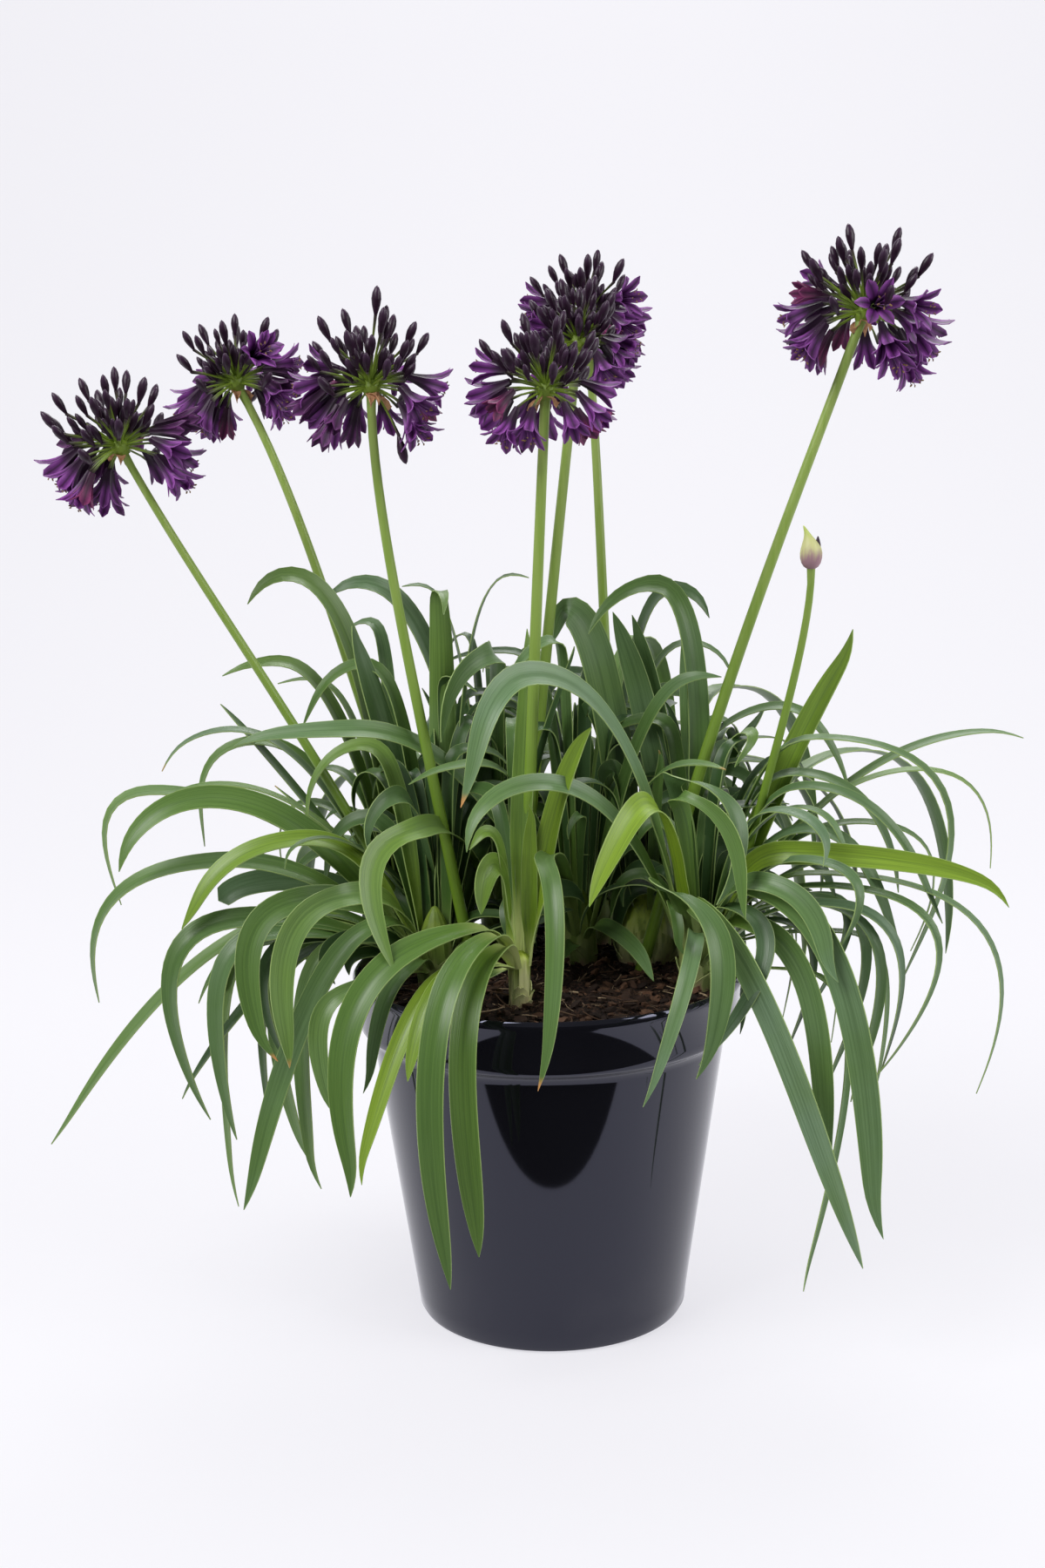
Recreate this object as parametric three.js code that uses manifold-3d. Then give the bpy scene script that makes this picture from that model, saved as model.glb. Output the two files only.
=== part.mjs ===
// African lily (agapanthus) in a round nursery pot: ten leaf crowns and eight flower stems in soil.
// Millimetres, +Z up, origin at the centre of the pot's underside. The fuller side of the plant
// faces -Y. Every leaf springs from a crown, climbs, levels off at its crest and bends to its tip.
import * as THREE from 'three';
import { mergeVertices } from 'three/addons/utils/BufferGeometryUtils.js';
import loadKernel from 'manifold-3d';

const kernel = await loadKernel();
kernel.setup();

const CLEARANCE = 0.35; // gap kept between a stem or crown and what it stands in
const LEAF_CLEARANCE = 0.6; // gap kept between leaves of different crowns
const SEED = 20;

// Pot: radius and height of each corner of its section, from the middle of the base outwards, up
// the wall, over the rolled rim and down inside.
const POT_SIDES = 32;
const POT_BASE_RADIUS = 78;
const POT_RIM_RADIUS = 130;
const POT_HEIGHT = 234;
const POT_FLOOR = 3;
const POT_OUTSIDE = [
  [0, 0], [POT_BASE_RADIUS, 0], [87, 3.5], [91.5, 14], // foot
  [117.5, 191], [126, 197.5], // tapered wall and the shoulder under the lip
  [128.5, 228], [POT_RIM_RADIUS, 230.5], [129, POT_HEIGHT], // lip and rolled rim
];
const POT_INSIDE = [[126.6, 232], [124, 199], [115.3, 192], [82.5, POT_FLOOR], [0, POT_FLOOR]];

const SOIL_TOP = 226;
const SOIL_ROUGHNESS = 4; // height of the clods on its surface
const SOIL_EDGE = 221;
const SOIL_OUTSIDE = [
  [0, 3.4], [82.1, 3.4], [114.9, 192.1], [124.8, SOIL_EDGE], [96, 225], [52, 227], [0, SOIL_TOP],
];

// Crowns, the swollen leaf bases: x, y, radius at the soil and height of the top.
const CROWNS = {
  1: [-19, -55, 10, 292],
  2: [22, 40, 12, 285],
  3: [70, 48, 16, 282],
  4: [101, 22, 10, 282],
  5: [-68, 30, 12, 284],
  6: [-74, -14, 12, 280],
  7: [-32, 88, 12, 286],
  8: [34, 92, 12, 286],
  9: [-94, 62, 10, 282],
  10: [97, -22, 10, 280],
};
const CROWN_SIDES = 8;
const CROWN_FOOT = 202; // how deep a crown is set in the soil
const CROWN_SHAPE = [[0, 1], [30, 1], [44, 1.06]]; // height over the foot, share of the radius
const CROWN_NECK = [[-16, 0.84], [0, 0.5]]; // and the same under the top
const LEAF_ROOT = 240; // height inside the crown from which its leaves grow

// Leaves: crest x, y, z; shoulder x, y, the corner that the fall bends round; tip x, y, z; width;
// lift, the share of the way to the crest at which the climb turns over; and twist in degrees,
// which turns the upper face to the front.
const LEAVES = {
  1: [
    [-46, -90, 285, -155, -150, -119, -150, 132, 16.5, 0.3, 25],
    [-38, -110, 284, -90, -200, -62, -175, 83, 15, 0.3, 15],
    [-30, -100, 275, -68, -185, -45, -165, 99, 15, 0.3, 10],
    [-55, -100, 262, -90, -135, -119, -160, 145, 11.5, 0.4, 25],
    [-46, -100, 276, -60, -130, -72, -140, 217, 15, 0.4, 10],
    [-60, -110, 262, -75, -140, -87, -150, 205, 11, 0.4, 15],
    [-31, -70, 323, -38, -80, -42, -85, 291, 15, 0.1, 60],
    [-36, -65, 343, -44, -68, -47, -70, 328, 10, 0.1, 50],
    [20, -58, 400, 24, -59, 27, -60, 405, 14, 0.2, 60],
    [-11, -55, 350, -10, -55, -9, -55, 354, 10, 0.3, 80],
    [-10, -25, 457, -10, -22, -10, -20, 462, 13.5, 0.1, 0],
  ],
  2: [
    [9, -20, 457, -15, -35, -23, -40, 426, 11, 0.3, 35],
    [-4, -100, 330, 8, -150, -6, -160, 201, 11.5, 0.3, 0],
    [-124, -40, 402, -185, -42, -199, -40, 393, 13.5, 0.45, 45],
    [-48, -60, 383, -75, -75, -85, -80, 373, 9.5, 0.35, 30],
    [99, 0, 429, 110, 0, 114, 0, 424, 13.5, 0.4, 50],
    [95, -40, 378, 110, -48, 115, -50, 375, 9.5, 0.4, 20],
    [35, 10, 262, 55, -30, 66, -62, 240, 11, 0.4, 30],
  ],
  3: [
    [16, 40, 471, 8, 55, 10, 60, 442, 24, 0.3, 60],
    [72, -15, 380, 75, -18, 76, -20, 383, 8, 0.3, 20],
  ],
  4: [
    [195, 0, 440, 201, 0, 205, 0, 453, 16.5, 0.5, 60],
    [298, 30, 384, 312, 30, 320, 30, 380, 11, 0.45, 40],
    [248, 10, 363, 302, 5, 294, 0, 296, 10, 0.45, 20],
    [170, -20, 390, 318, -30, 229, -30, 228, 11.5, 0.4, 25],
    [167, -40, 362, 225, -50, 251, -50, 271, 12.5, 0.4, 40],
    [164, -40, 348, 188, -50, 188, -60, 315, 8.5, 0.4, 30],
    [160, -10, 366, 222, -15, 231, -20, 286, 13.5, 0.4, 35],
    [173, -40, 334, 205, -48, 225, -50, 253, 13.5, 0.4, 50],
    [169, -40, 285, 245, -55, 192, -60, 156, 11, 0.4, 20],
    [201, -20, 260, 235, -30, 214, -30, 149, 8, 0.4, 20],
    [170, -20, 285, 240, -30, 180, -40, 161, 11, 0.4, 30],
    [187, -10, 282, 215, -30, 167, -40, 209, 11.5, 0.4, 40],
    [77, 40, 487, 45, 25, 28, 20, 455, 15.5, -1.2, 50],
    [131, 0, 394, 150, -10, 119, -20, 370, 10, 0.3, 20],
    [208, 20, 326, 290, 15, 244, 10, 237, 8.5, 0.4, 30],
    [52, 55, 460, 50, 58, 48, 60, 464, 16.5, 0.4, 60],
    [66, 66, 457, 64, 68, 62, 70, 461, 14, 0.4, 50],
    [97, 35, 450, 96, 38, 95, 40, 459, 8.5, 0.4, 20],
  ],
  5: [
    [-95, -60, 365, -112, -75, -115, -80, 331, 13.5, 0.35, 50],
    [-70, 20, 487, -62, 0, -60, -10, 471, 16.5, 0.1, 0],
    [-120, 21, 455, -123, 20, -126, 20, 461, 18.5, 0.45, 55],
    [-20, 0, 497, -12, 0, -6, 0, 495, 9.5, 0, 20],
    [-115, 30, 437, -150, 25, -158, 20, 394, 11, 0.35, 40],
    [-266, 20, 355, -312, 10, -282, 0, 280, 11.5, 0.5, 20],
    [-218, 10, 360, -250, 4, -257, 0, 343, 8, 0.5, 15],
    [-172, 30, 352, -178, 30, -181, 30, 354, 8, 0.5, 15],
    [-175, 30, 290, -215, 24, -221, 20, 278, 15, 0.5, 70],
    [-173, 0, 266, -210, 0, -235, 0, 213, 8, 0.4, 15],
    [-188, -20, 260, -225, -30, -210, -40, 85, 8, 0.5, 20],
    [-167, -10, 257, -200, -20, -185, -30, 129, 8, 0.5, 20],
  ],
  6: [
    [-219, -20, 356, -262, -34, -277, -40, 313, 15.5, 0.45, 60],
    [-153, -40, 333, -215, -55, -230, -60, 277, 14, 0.4, 35],
    [-206, -10, 313, -318, -20, -296, -20, 219, 14, 0.45, 28],
    [-158, -20, 278, -235, -30, -328, -40, 128, 12.5, 0.45, 25],
    [-194, -50, 284, -275, -62, -220, -70, 155, 15.5, 0.45, 32],
    [-180, -60, 276, -231, -72, -202, -80, 145, 14, 0.4, 28],
    [-152, -80, 302, -208, -100, -175, -110, 205, 15.5, 0.35, 55],
    [-121, -90, 307, -178, -110, -158, -120, 205, 15.5, 0.3, 50],
    [-105, -60, 282, -150, -75, -195, -90, 101, 14, 0.3, 32],
    [-128, -50, 268, -175, -62, -154, -70, 108, 12.5, 0.4, 25],
    [-148, -20, 258, -204, -40, -159, -50, 116, 14, 0.45, 32],
    [-120, -100, 250, -161, -115, -134, -120, 170, 11.5, 0.3, 20],
    [-87, -100, 262, -105, -125, -112, -130, 191, 10, 0.3, 10],
    [-114, 0, 387, -155, -8, -158, -10, 334, 11.5, 0.3, 40],
  ],
  7: [
    [-28, 0, 445, -60, -25, -67, -30, 391, 18.5, 0.3, 55],
    [-121, 60, 488, -138, 60, -142, 60, 474, 17, 0.3, 50],
    [-80, 60, 486, -90, 54, -92, 50, 483, 11, 0.25, 30],
    [-81, -80, 345, -130, -110, -94, -120, 264, 15.5, 0.35, 40],
    [12, -35, 451, 17, -38, 21, -40, 455, 11, 0.4, 40],
  ],
  8: [
    [87, 60, 482, 108, 60, 114, 60, 459, 14, 0.3, 45],
    [98, 90, 441, 128, 90, 135, 90, 409, 10, 0.35, 20],
    [165, 40, 404, 190, 35, 209, 30, 344, 11.5, 0.45, 50],
  ],
  9: [
    [-168, 40, 496, -188, 34, -193, 30, 475, 17, 0.2, 50],
    [-175, 30, 440, -203, 22, -209, 20, 427, 13.5, 0.4, 40],
    [-156, 70, 422, -176, 70, -182, 70, 416, 9.5, 0.35, 15],
    [-212, 40, 392, -245, 25, -256, 20, 368, 10, 0.45, 15],
    [-194, 60, 381, -250, 60, -233, 60, 306, 9.5, 0.45, 30],
    [-210, 60, 400, -215, 60, -219, 60, 406, 9.5, 0.5, 20],
    [-121, 90, 459, -142, 90, -149, 90, 439, 9.5, 0.3, 30],
  ],
  10: [
    [-11, -80, 443, -42, -110, -48, -120, 365, 17, 0.3, 50],
    [59, -110, 366, 48, -130, 22, -150, 311, 15.5, 0.35, 40],
    [75, -60, 372, 145, -80, 109, -90, 296, 14, 0.3, 40],
    [77, -70, 363, 125, -90, 118, -100, 289, 11.5, 0.3, 30],
    [-8, -70, 372, -45, -90, -53, -95, 334, 12.5, 0.35, 45],
    [168, -40, 305, 335, -55, 275, -60, 161, 11.5, 0.4, 20],
    [149, -60, 322, 270, -75, 291, -80, 292, 14, 0.35, 70],
    [143, -60, 351, 178, -80, 174, -90, 320, 11.5, 0.35, 40],
    [162, -70, 321, 218, -95, 179, -100, 269, 11, 0.4, 40],
    [173, -50, 299, 305, -75, 204, -80, 176, 11, 0.4, 20],
    [177, -60, 290, 248, -75, 209, -80, 183, 11.5, 0.4, 22],
    [125, -80, 307, 195, -120, 197, -130, 92, 16.5, 0.35, 55],
    [122, -60, 279, 175, -100, 171, -110, 131, 13.5, 0.35, 50],
    [166, -60, 245, 215, -90, 157, -100, 44, 7, 0.4, 20],
    [129, -90, 311, 168, -110, 169, -120, 253, 13.5, 0.35, 40],
    [88, -72, 293, 122, -115, 189, -140, 77, 15.5, 0.35, 55],
    [66, -80, 307, 130, -125, 92, -130, 197, 16.5, 0.3, 30],
    [114, -60, 290, 165, -110, 91, -110, 199, 11, 0.35, 20],
    [92, -90, 278, 85, -150, 55, -160, 190, 10, 0.3, 20],
  ],
};

// The leaves that arch over the back of the pot, spread evenly between two headings.
const BACK_LEAVES = 27;
const BACK_CROWNS = [8, 7, 4, 9, 3, 7, 8, 5, 2];
const BACK_HEADINGS = [28, 152]; // degrees round from +X
const BACK_CREST_OUT = [70, 150];
const BACK_CREST_HEIGHT = [290, 410];
const BACK_FALL_OUT = [60, 130];
const BACK_FALL = [40, 210];
const BACK_WIDTH = [11, 16];
const BACK_LIFT = 0.35;

const CLIMB_SPACING = 62; // length of a blade between two of its sections, up to the crest
const FALL_SPACING = 26; // and from there to the tip
const FALL_STATIONS = 4; // most sections in a fall
const BLADE_KEEL = 0.12; // depth of the keel under a blade, as a share of the width
const BLADE_ROOT_WIDTH = 0.25; // width of a blade's root, as a share of its widest part
const BLADE_SWELL = 2.2; // how fast it widens from there
const BLADE_TAPER = 7; // the higher, the later it narrows to its tip
const NUDGE_RINGS = [7, 14, 21, 30]; // how far a crest moves aside when its leaf is not clear
const NUDGE_TIP = 1.4; // how much further the tip moves with it

// Flower stems: foot x, y; the point x, y, z towards which the stem leans; top x, y, z.
const STEMS = {
  1: [-55, 12, -161, 1, 404, -266, -10, 580],
  2: [-66, 75, -160, 95, 525, -207, 110, 620],
  3: [-42, -8, -105, -27, 530, -105, -30, 615],
  4: [-18, -33, -8, -42, 424, 3, -50, 611],
  5: [56, 98, 43, 120, 447, 34, 142, 662],
  6: [54, 8, 133, 5, 488, 205, 0, 656],
  7: [-24, 34, 0, 40, 430, 26, 45, 642],
  8: [104, 2, 169, -20, 460, 169, -30, 499],
};
const STEM_FOOT = 196;
const STEM_SIDES = 6;
const STEM_RADII = [4.6, 3.3]; // at the foot and at the top
const STEM_STATIONS = 4;

// Flower heads, by stem: the distance from the hub to the tips of the florets.
const HEADS = { 1: 56, 2: 52, 3: 55, 4: 53, 5: 50, 6: 60, 7: 46 };
const HUB = [[-5, 5.2], [1, 6.4], [5, 4]]; // distance along the stem from its top, and radius
const FLORETS = 28;
const FLORET_SPREAD = 124; // degrees from the axis of the head
const TOP_BUDS = 12; // florets round the crown of a head that are still closed
const BUD_EVERY = 4; // and one in this many among the open ones
const FLORET_REACH = [0.88, 1]; // shortest and longest, as a share of the head's
const FLORET_SCATTER = 0.5; // radians by which a floret strays from its place in the spiral
const PEDICEL_RADIUS = 1;
const PEDICEL_ROOT = 0.07; // shares of a floret's reach at which its pedicel starts in the hub
const PEDICEL_SHARE = 0.48; // and ends in the flower
const BUD_SHARES = [0.58, 0.82]; // the same for the base of a bud and its widest part
const BUD_RADIUS = 3.8;
const NOD = 0.85; // how far the open flowers droop from their pedicels, the lower ones more
const THROAT = 0.25; // share of a flower's length at which its funnel opens
const TEPAL_TIP = { out: 11, along: 1 }; // along: share of the flower's length
const TEPAL_NOTCH = { out: 5, along: 0.6 };
const GOLDEN_ANGLE = Math.PI * (3 - Math.sqrt(5));

// The eighth stem ends in a closed sheath with a beak: height above its foot, radius, drift in x.
const SHEATH = [[-3, 3.2, 0], [3, 5.4, 0], [10, 6.2, 0], [16, 4.4, -0.5], [21, 2, -2.5]];
const SHEATH_BEAK = [-5, 26];

const FINISHES = {
  pot: { color: 0x17171b, roughness: 0.22, metalness: 0 },
  soil: { color: 0x3a2418, roughness: 0.95, metalness: 0 },
  leaf: { color: 0x4c7336, roughness: 0.42, metalness: 0 },
  stem: { color: 0x85a64c, roughness: 0.5, metalness: 0 },
  flower: { color: 0x3d2a66, roughness: 0.55, metalness: 0 },
  sheath: { color: 0xb9c08a, roughness: 0.55, metalness: 0 },
};

const UP = new THREE.Vector3(0, 0, 1);
const vector = (x, y, z) => new THREE.Vector3(x, y, z);
const mix = (range, share) => THREE.MathUtils.lerp(range[0], range[1], share);

/** Seeded generator of numbers from 0 to 1, so that the plant is the same each time. */
function seeded(seed) {
  let state = seed;
  return () => {
    state = (Math.imul(state, 1664525) + 1013904223) >>> 0;
    return state / 2 ** 32;
  };
}

/** Closed skin over rings of points, each ring right-handed about the direction of travel. */
function loft(rings) {
  const triangles = [];
  const starts = rings.map((ring, k) => rings.slice(0, k).reduce((sum, r) => sum + r.length, 0));
  const corner = (k, i) => starts[k] + (i % rings[k].length);
  const cap = (k, flip) => {
    for (let i = 1; i < rings[k].length - 1; i += 1) {
      triangles.push(corner(k, 0), corner(k, flip ? i + 1 : i), corner(k, flip ? i : i + 1));
    }
  };
  cap(0, true);
  for (let k = 1; k < rings.length; k += 1) {
    const [a, b] = [rings[k - 1].length, rings[k].length];
    let [i, j] = [0, 0];
    while ((a > 1 && i < a) || (b > 1 && j < b)) {
      if (b === 1 || (a > 1 && (i + 1) * b <= (j + 1) * a)) {
        triangles.push(corner(k - 1, i), corner(k - 1, i + 1), corner(k, j));
        i += 1;
      } else {
        triangles.push(corner(k - 1, i), corner(k, j + 1), corner(k, j));
        j += 1;
      }
    }
  }
  cap(rings.length - 1, false);
  const geometry = new THREE.BufferGeometry();
  const points = rings.flat().flatMap((point) => point.toArray());
  geometry.setAttribute('position', new THREE.Float32BufferAttribute(points, 3));
  geometry.setIndex(triangles);
  return geometry;
}

/** Points round a centre, one for each radius, right-handed about the axis, the first towards. */
function ring(centre, axis, radii, towards = vector(1, 0, 0)) {
  const side = towards.clone().addScaledVector(axis, -towards.dot(axis)).normalize();
  const turn = axis.clone().cross(side);
  return radii.map((radius, k) => {
    const angle = (2 * Math.PI * k) / radii.length;
    return centre.clone()
      .addScaledVector(side, radius * Math.cos(angle))
      .addScaledVector(turn, radius * Math.sin(angle));
  });
}

/** Solid of a closed geometry. */
function solid(geometry) {
  geometry.deleteAttribute('normal');
  geometry.deleteAttribute('uv');
  const merged = mergeVertices(geometry);
  return new kernel.Manifold(new kernel.Mesh({
    numProp: 3,
    vertProperties: new Float32Array(merged.attributes.position.array),
    triVerts: new Uint32Array(merged.index.array),
  }));
}

/** Named mesh of a solid, in its own material. */
function mesh(name, finish, body) {
  const { vertProperties, triVerts } = body.getMesh();
  const geometry = new THREE.BufferGeometry();
  geometry.setAttribute('position', new THREE.BufferAttribute(vertProperties, 3));
  geometry.setIndex(new THREE.BufferAttribute(triVerts, 1));
  geometry.computeVertexNormals();
  const result = new THREE.Mesh(geometry, new THREE.MeshStandardMaterial(FINISHES[finish]));
  result.name = name;
  return result;
}

/** Turned body of a section given as [radius, height] corners. */
function turned(section) {
  const corners = section.map(([radius, height]) => new THREE.Vector2(radius, height));
  return new THREE.LatheGeometry(corners, POT_SIDES).rotateX(Math.PI / 2);
}

/** Soil: a plug that fills the pot, with clods on top. */
function makeSoil() {
  const random = seeded(SEED);
  const geometry = mergeVertices(turned(SOIL_OUTSIDE).deleteAttribute('normal').deleteAttribute('uv'));
  const place = geometry.attributes.position;
  for (let i = 0; i < place.count; i += 1) {
    if (place.getZ(i) > SOIL_EDGE) {
      place.setZ(i, place.getZ(i) + (random() - 0.5) * SOIL_ROUGHNESS);
    }
  }
  return solid(geometry);
}

/** Crown: an eight-sided sheath that swells above the soil and closes towards its top. */
function makeCrown([x, y, radius, top], swell = 0) {
  const section = [
    ...CROWN_SHAPE.map(([height, share]) => [CROWN_FOOT + height, share]),
    ...CROWN_NECK.map(([height, share]) => [top + height, share]),
  ];
  section[0][0] -= swell;
  return solid(loft(section.map(([z, share]) => ring(
    vector(x, y, z), UP, Array(CROWN_SIDES).fill(radius * share + swell),
  ))));
}

/** Centreline of a leaf as two curves that meet, level, at the crest. */
function centreline(crown, leaf, nudge) {
  const [crestX, crestY, crestZ, shoulderX, shoulderY, tipX, tipY, tipZ, width, lift, twist] = leaf;
  const [x, y, radius] = CROWNS[crown];
  const heading = vector((crestX + tipX) / 2 - x, (crestY + tipY) / 2 - y, 0).normalize();
  const across = heading.clone().cross(UP);
  const move = (point, share) => point
    .addScaledVector(across, nudge[0] * share).addScaledVector(UP, nudge[1] * share);
  const root = vector(x, y, LEAF_ROOT).addScaledVector(heading, radius / 3);
  const crest = move(vector(crestX, crestY, crestZ), 1);
  const tip = move(vector(tipX, tipY, tipZ), NUDGE_TIP);
  const climb = root.clone().lerp(crest, lift).setZ(crest.z);
  const shoulder = move(vector(shoulderX, shoulderY, crestZ), NUDGE_TIP).setZ(crest.z);
  const turn = Math.sign(across.y || 1) * THREE.MathUtils.degToRad(twist);
  return {
    curves: [
      new THREE.QuadraticBezierCurve3(root, climb, crest),
      new THREE.QuadraticBezierCurve3(crest, shoulder, tip),
    ],
    across, turn, width,
  };
}

/** Width of a blade along its length, as a share of the widest part. */
function bladeWidth(share) {
  return Math.min(1, BLADE_ROOT_WIDTH + BLADE_SWELL * share) * (1 - share ** BLADE_TAPER);
}

/** Blade: a keeled strap along its centreline to the pointed tip, or only its fall. */
function makeBlade({ curves, across, turn, width }, fallOnly = false, swell = 0) {
  const [climb, fall] = curves.map((curve) => curve.getLength());
  const counts = [
    Math.max(2, Math.round(climb / CLIMB_SPACING)),
    THREE.MathUtils.clamp(Math.round(fall / FALL_SPACING), 1, FALL_STATIONS),
  ];
  const rings = [];
  for (const part of fallOnly ? [1] : [0, 1]) {
    for (let k = 0; k < counts[part]; k += 1) {
      const share = k / counts[part];
      const centre = curves[part].getPointAt(share);
      const along = curves[part].getTangentAt(share);
      const face = across.clone().cross(along);
      const side = across.clone().multiplyScalar(Math.cos(turn)).addScaledVector(face, Math.sin(turn));
      const normal = side.clone().cross(along);
      const travelled = part === 0 ? share * climb : climb + share * fall;
      const reach = (width / 2) * bladeWidth(travelled / (climb + fall));
      centre.addScaledVector(normal, swell);
      rings.push([
        centre.clone().addScaledVector(side, reach + swell),
        centre.clone().addScaledVector(normal, -2 * reach * BLADE_KEEL - 2 * swell),
        centre.clone().addScaledVector(side, -reach - swell),
      ]);
    }
  }
  rings.push([curves[1].getPoint(1).addScaledVector(curves[1].getTangent(1), swell)]);
  return solid(loft(rings));
}

/** Rows like those in LEAVES for the leaves over the back, each with its crown. */
function backLeaves() {
  const random = seeded(SEED);
  return Array.from({ length: BACK_LEAVES }, (_, k) => {
    const crown = BACK_CROWNS[k % BACK_CROWNS.length];
    const share = (k + 0.2 + 0.6 * random()) / BACK_LEAVES;
    const heading = THREE.MathUtils.degToRad(mix(BACK_HEADINGS, share));
    const out = mix(BACK_CREST_OUT, random());
    const crestZ = mix(BACK_CREST_HEIGHT, random());
    const fall = out + mix(BACK_FALL_OUT, random());
    const tipZ = crestZ - mix(BACK_FALL, random());
    const width = mix(BACK_WIDTH, random());
    const [x, y] = CROWNS[crown];
    const spot = (distance) => [x + distance * Math.cos(heading), y + distance * Math.sin(heading)];
    return [crown, [...spot(out), crestZ, ...spot(fall), ...spot(fall), tipZ, width, BACK_LIFT, 0]];
  });
}

/** Middle line of a stem. */
function stemCurve([footX, footY, leanX, leanY, leanZ, topX, topY, topZ]) {
  return new THREE.QuadraticBezierCurve3(
    vector(footX, footY, STEM_FOOT), vector(leanX, leanY, leanZ), vector(topX, topY, topZ),
  );
}

/** Stem of tapering round section. */
function makeStem(stem, swell = 0) {
  const curve = stemCurve(stem);
  const rings = [];
  for (let k = 0; k <= STEM_STATIONS; k += 1) {
    const share = k / STEM_STATIONS;
    const along = curve.getTangent(share);
    const overrun = (k === STEM_STATIONS) - (k === 0);
    rings.push(ring(
      curve.getPoint(share).addScaledVector(along, overrun * swell), along,
      Array(STEM_SIDES).fill(mix(STEM_RADII, share) + swell),
    ));
  }
  return solid(loft(rings));
}

/** Closed floret: a three-sided pedicel that swells into a pointed bud. */
function makeBud(hub, way, reach) {
  const at = (share) => hub.clone().addScaledVector(way, reach * share);
  const round = (share, radius) => ring(at(share), way, Array(3).fill(radius), UP);
  return solid(loft([
    round(PEDICEL_ROOT, PEDICEL_RADIUS), round(BUD_SHARES[0], PEDICEL_RADIUS),
    round(BUD_SHARES[1], BUD_RADIUS), [at(1)],
  ]));
}

/** Open floret: a pedicel that flares into a nodding funnel with six pointed tepals. */
function makeFlower(hub, way, reach) {
  const droop = NOD * Math.hypot(way.x, way.y) * (1 - way.z);
  const nod = way.clone().addScaledVector(UP, -droop).normalize();
  const neck = hub.clone().addScaledVector(way, reach * PEDICEL_SHARE);
  const length = reach * (1 - PEDICEL_SHARE);
  const corners = Array.from({ length: 12 }, (_, k) => (k % 2 ? TEPAL_NOTCH : TEPAL_TIP));
  const level = UP.clone().cross(way);
  const stalk = Array(3).fill(PEDICEL_RADIUS);
  const star = ring(neck, nod, corners.map(({ out }) => out), level);
  star.forEach((point, k) => point.addScaledVector(nod, length * corners[k].along));
  return solid(loft([
    ring(hub.clone().addScaledVector(way, reach * PEDICEL_ROOT), way, stalk, level),
    ring(neck, nod, stalk, level),
    star,
    [neck.clone().addScaledVector(nod, length * THROAT)],
  ]));
}

/** Head: florets spread evenly over a hub, the upper ones closed. It tilts half as far as its stem. */
function makeHead(stem, reach, seed) {
  const random = seeded(seed);
  const curve = stemCurve(stem);
  const [hub, along] = [curve.getPoint(1), curve.getTangent(1)];
  const tilt = new THREE.Quaternion().setFromUnitVectors(UP, along.clone().add(UP).normalize());
  const bodies = [solid(loft(HUB.map(([distance, radius]) => ring(
    hub.clone().addScaledVector(along, distance), along, Array(STEM_SIDES).fill(radius),
  ))))];
  const lowest = Math.cos(THREE.MathUtils.degToRad(FLORET_SPREAD));
  for (let k = 0; k < FLORETS; k += 1) {
    const height = 1 - ((1 - lowest) * (k + 0.5)) / FLORETS;
    const angle = k * GOLDEN_ANGLE + FLORET_SCATTER * random();
    const out = Math.sqrt(1 - height ** 2);
    const way = vector(out * Math.cos(angle), out * Math.sin(angle), height).applyQuaternion(tilt);
    const length = reach * mix(FLORET_REACH, random());
    const closed = k < TOP_BUDS || k % BUD_EVERY === 0;
    bodies.push(closed ? makeBud(hub, way, length) : makeFlower(hub, way, length));
  }
  return kernel.Manifold.union(bodies);
}

/** Sheath of the youngest stem. */
function makeSheath([x, y, z]) {
  const rings = SHEATH.map(([height, radius, drift]) => ring(
    vector(x + drift, y, z + height), UP, Array(STEM_SIDES).fill(radius),
  ));
  return solid(loft([...rings, [vector(x + SHEATH_BEAK[0], y, z + SHEATH_BEAK[1])]]));
}

/** Whether two boxes come within reach of each other. */
function near(a, b) {
  return [0, 1, 2].every((axis) => a.min[axis] <= b.max[axis] && b.min[axis] <= a.max[axis]);
}

/** Whether a body shares no space with any of the others. */
function clearOf(body, others) {
  const box = body.boundingBox();
  return others.every((other) => !near(box, other.boundingBox()) || body.intersect(other).isEmpty());
}

/**
 * Grows the leaves one by one and gives them by crown. Each is moved aside until it hangs clear, and
 * one that finds no clear place is left out.
 */
function growLeaves(obstacles, crowns) {
  const nudges = [[0, 0]];
  for (const distance of NUDGE_RINGS) {
    for (let k = 0; k < 8; k += 1) {
      const angle = (Math.PI * k) / 4;
      nudges.push([distance * Math.cos(angle), distance * Math.sin(angle)]);
    }
  }
  const grown = Object.fromEntries(Object.keys(CROWNS).map((crown) => [crown, []]));
  const rows = Object.entries(LEAVES).flatMap(([crown, leaves]) => leaves.map((leaf) => [crown, leaf]));
  for (const [crown, leaf] of [...rows, ...backLeaves()]) {
    const others = Object.entries(grown).filter(([other]) => other !== String(crown))
      .flatMap(([other, leaves]) => [crowns[other], ...leaves.map(({ whole }) => whole)]);
    const sisters = grown[crown].map(({ outer }) => outer);
    for (const nudge of nudges) {
      const line = centreline(crown, leaf, nudge);
      if (clearOf(makeBlade(line, false, LEAF_CLEARANCE), [...obstacles, ...others])
        && clearOf(makeBlade(line, true, LEAF_CLEARANCE), sisters)) {
        grown[crown].push({ whole: makeBlade(line), outer: makeBlade(line, true) });
        break;
      }
    }
  }
  return grown;
}

const plant = new THREE.Group();

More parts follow.
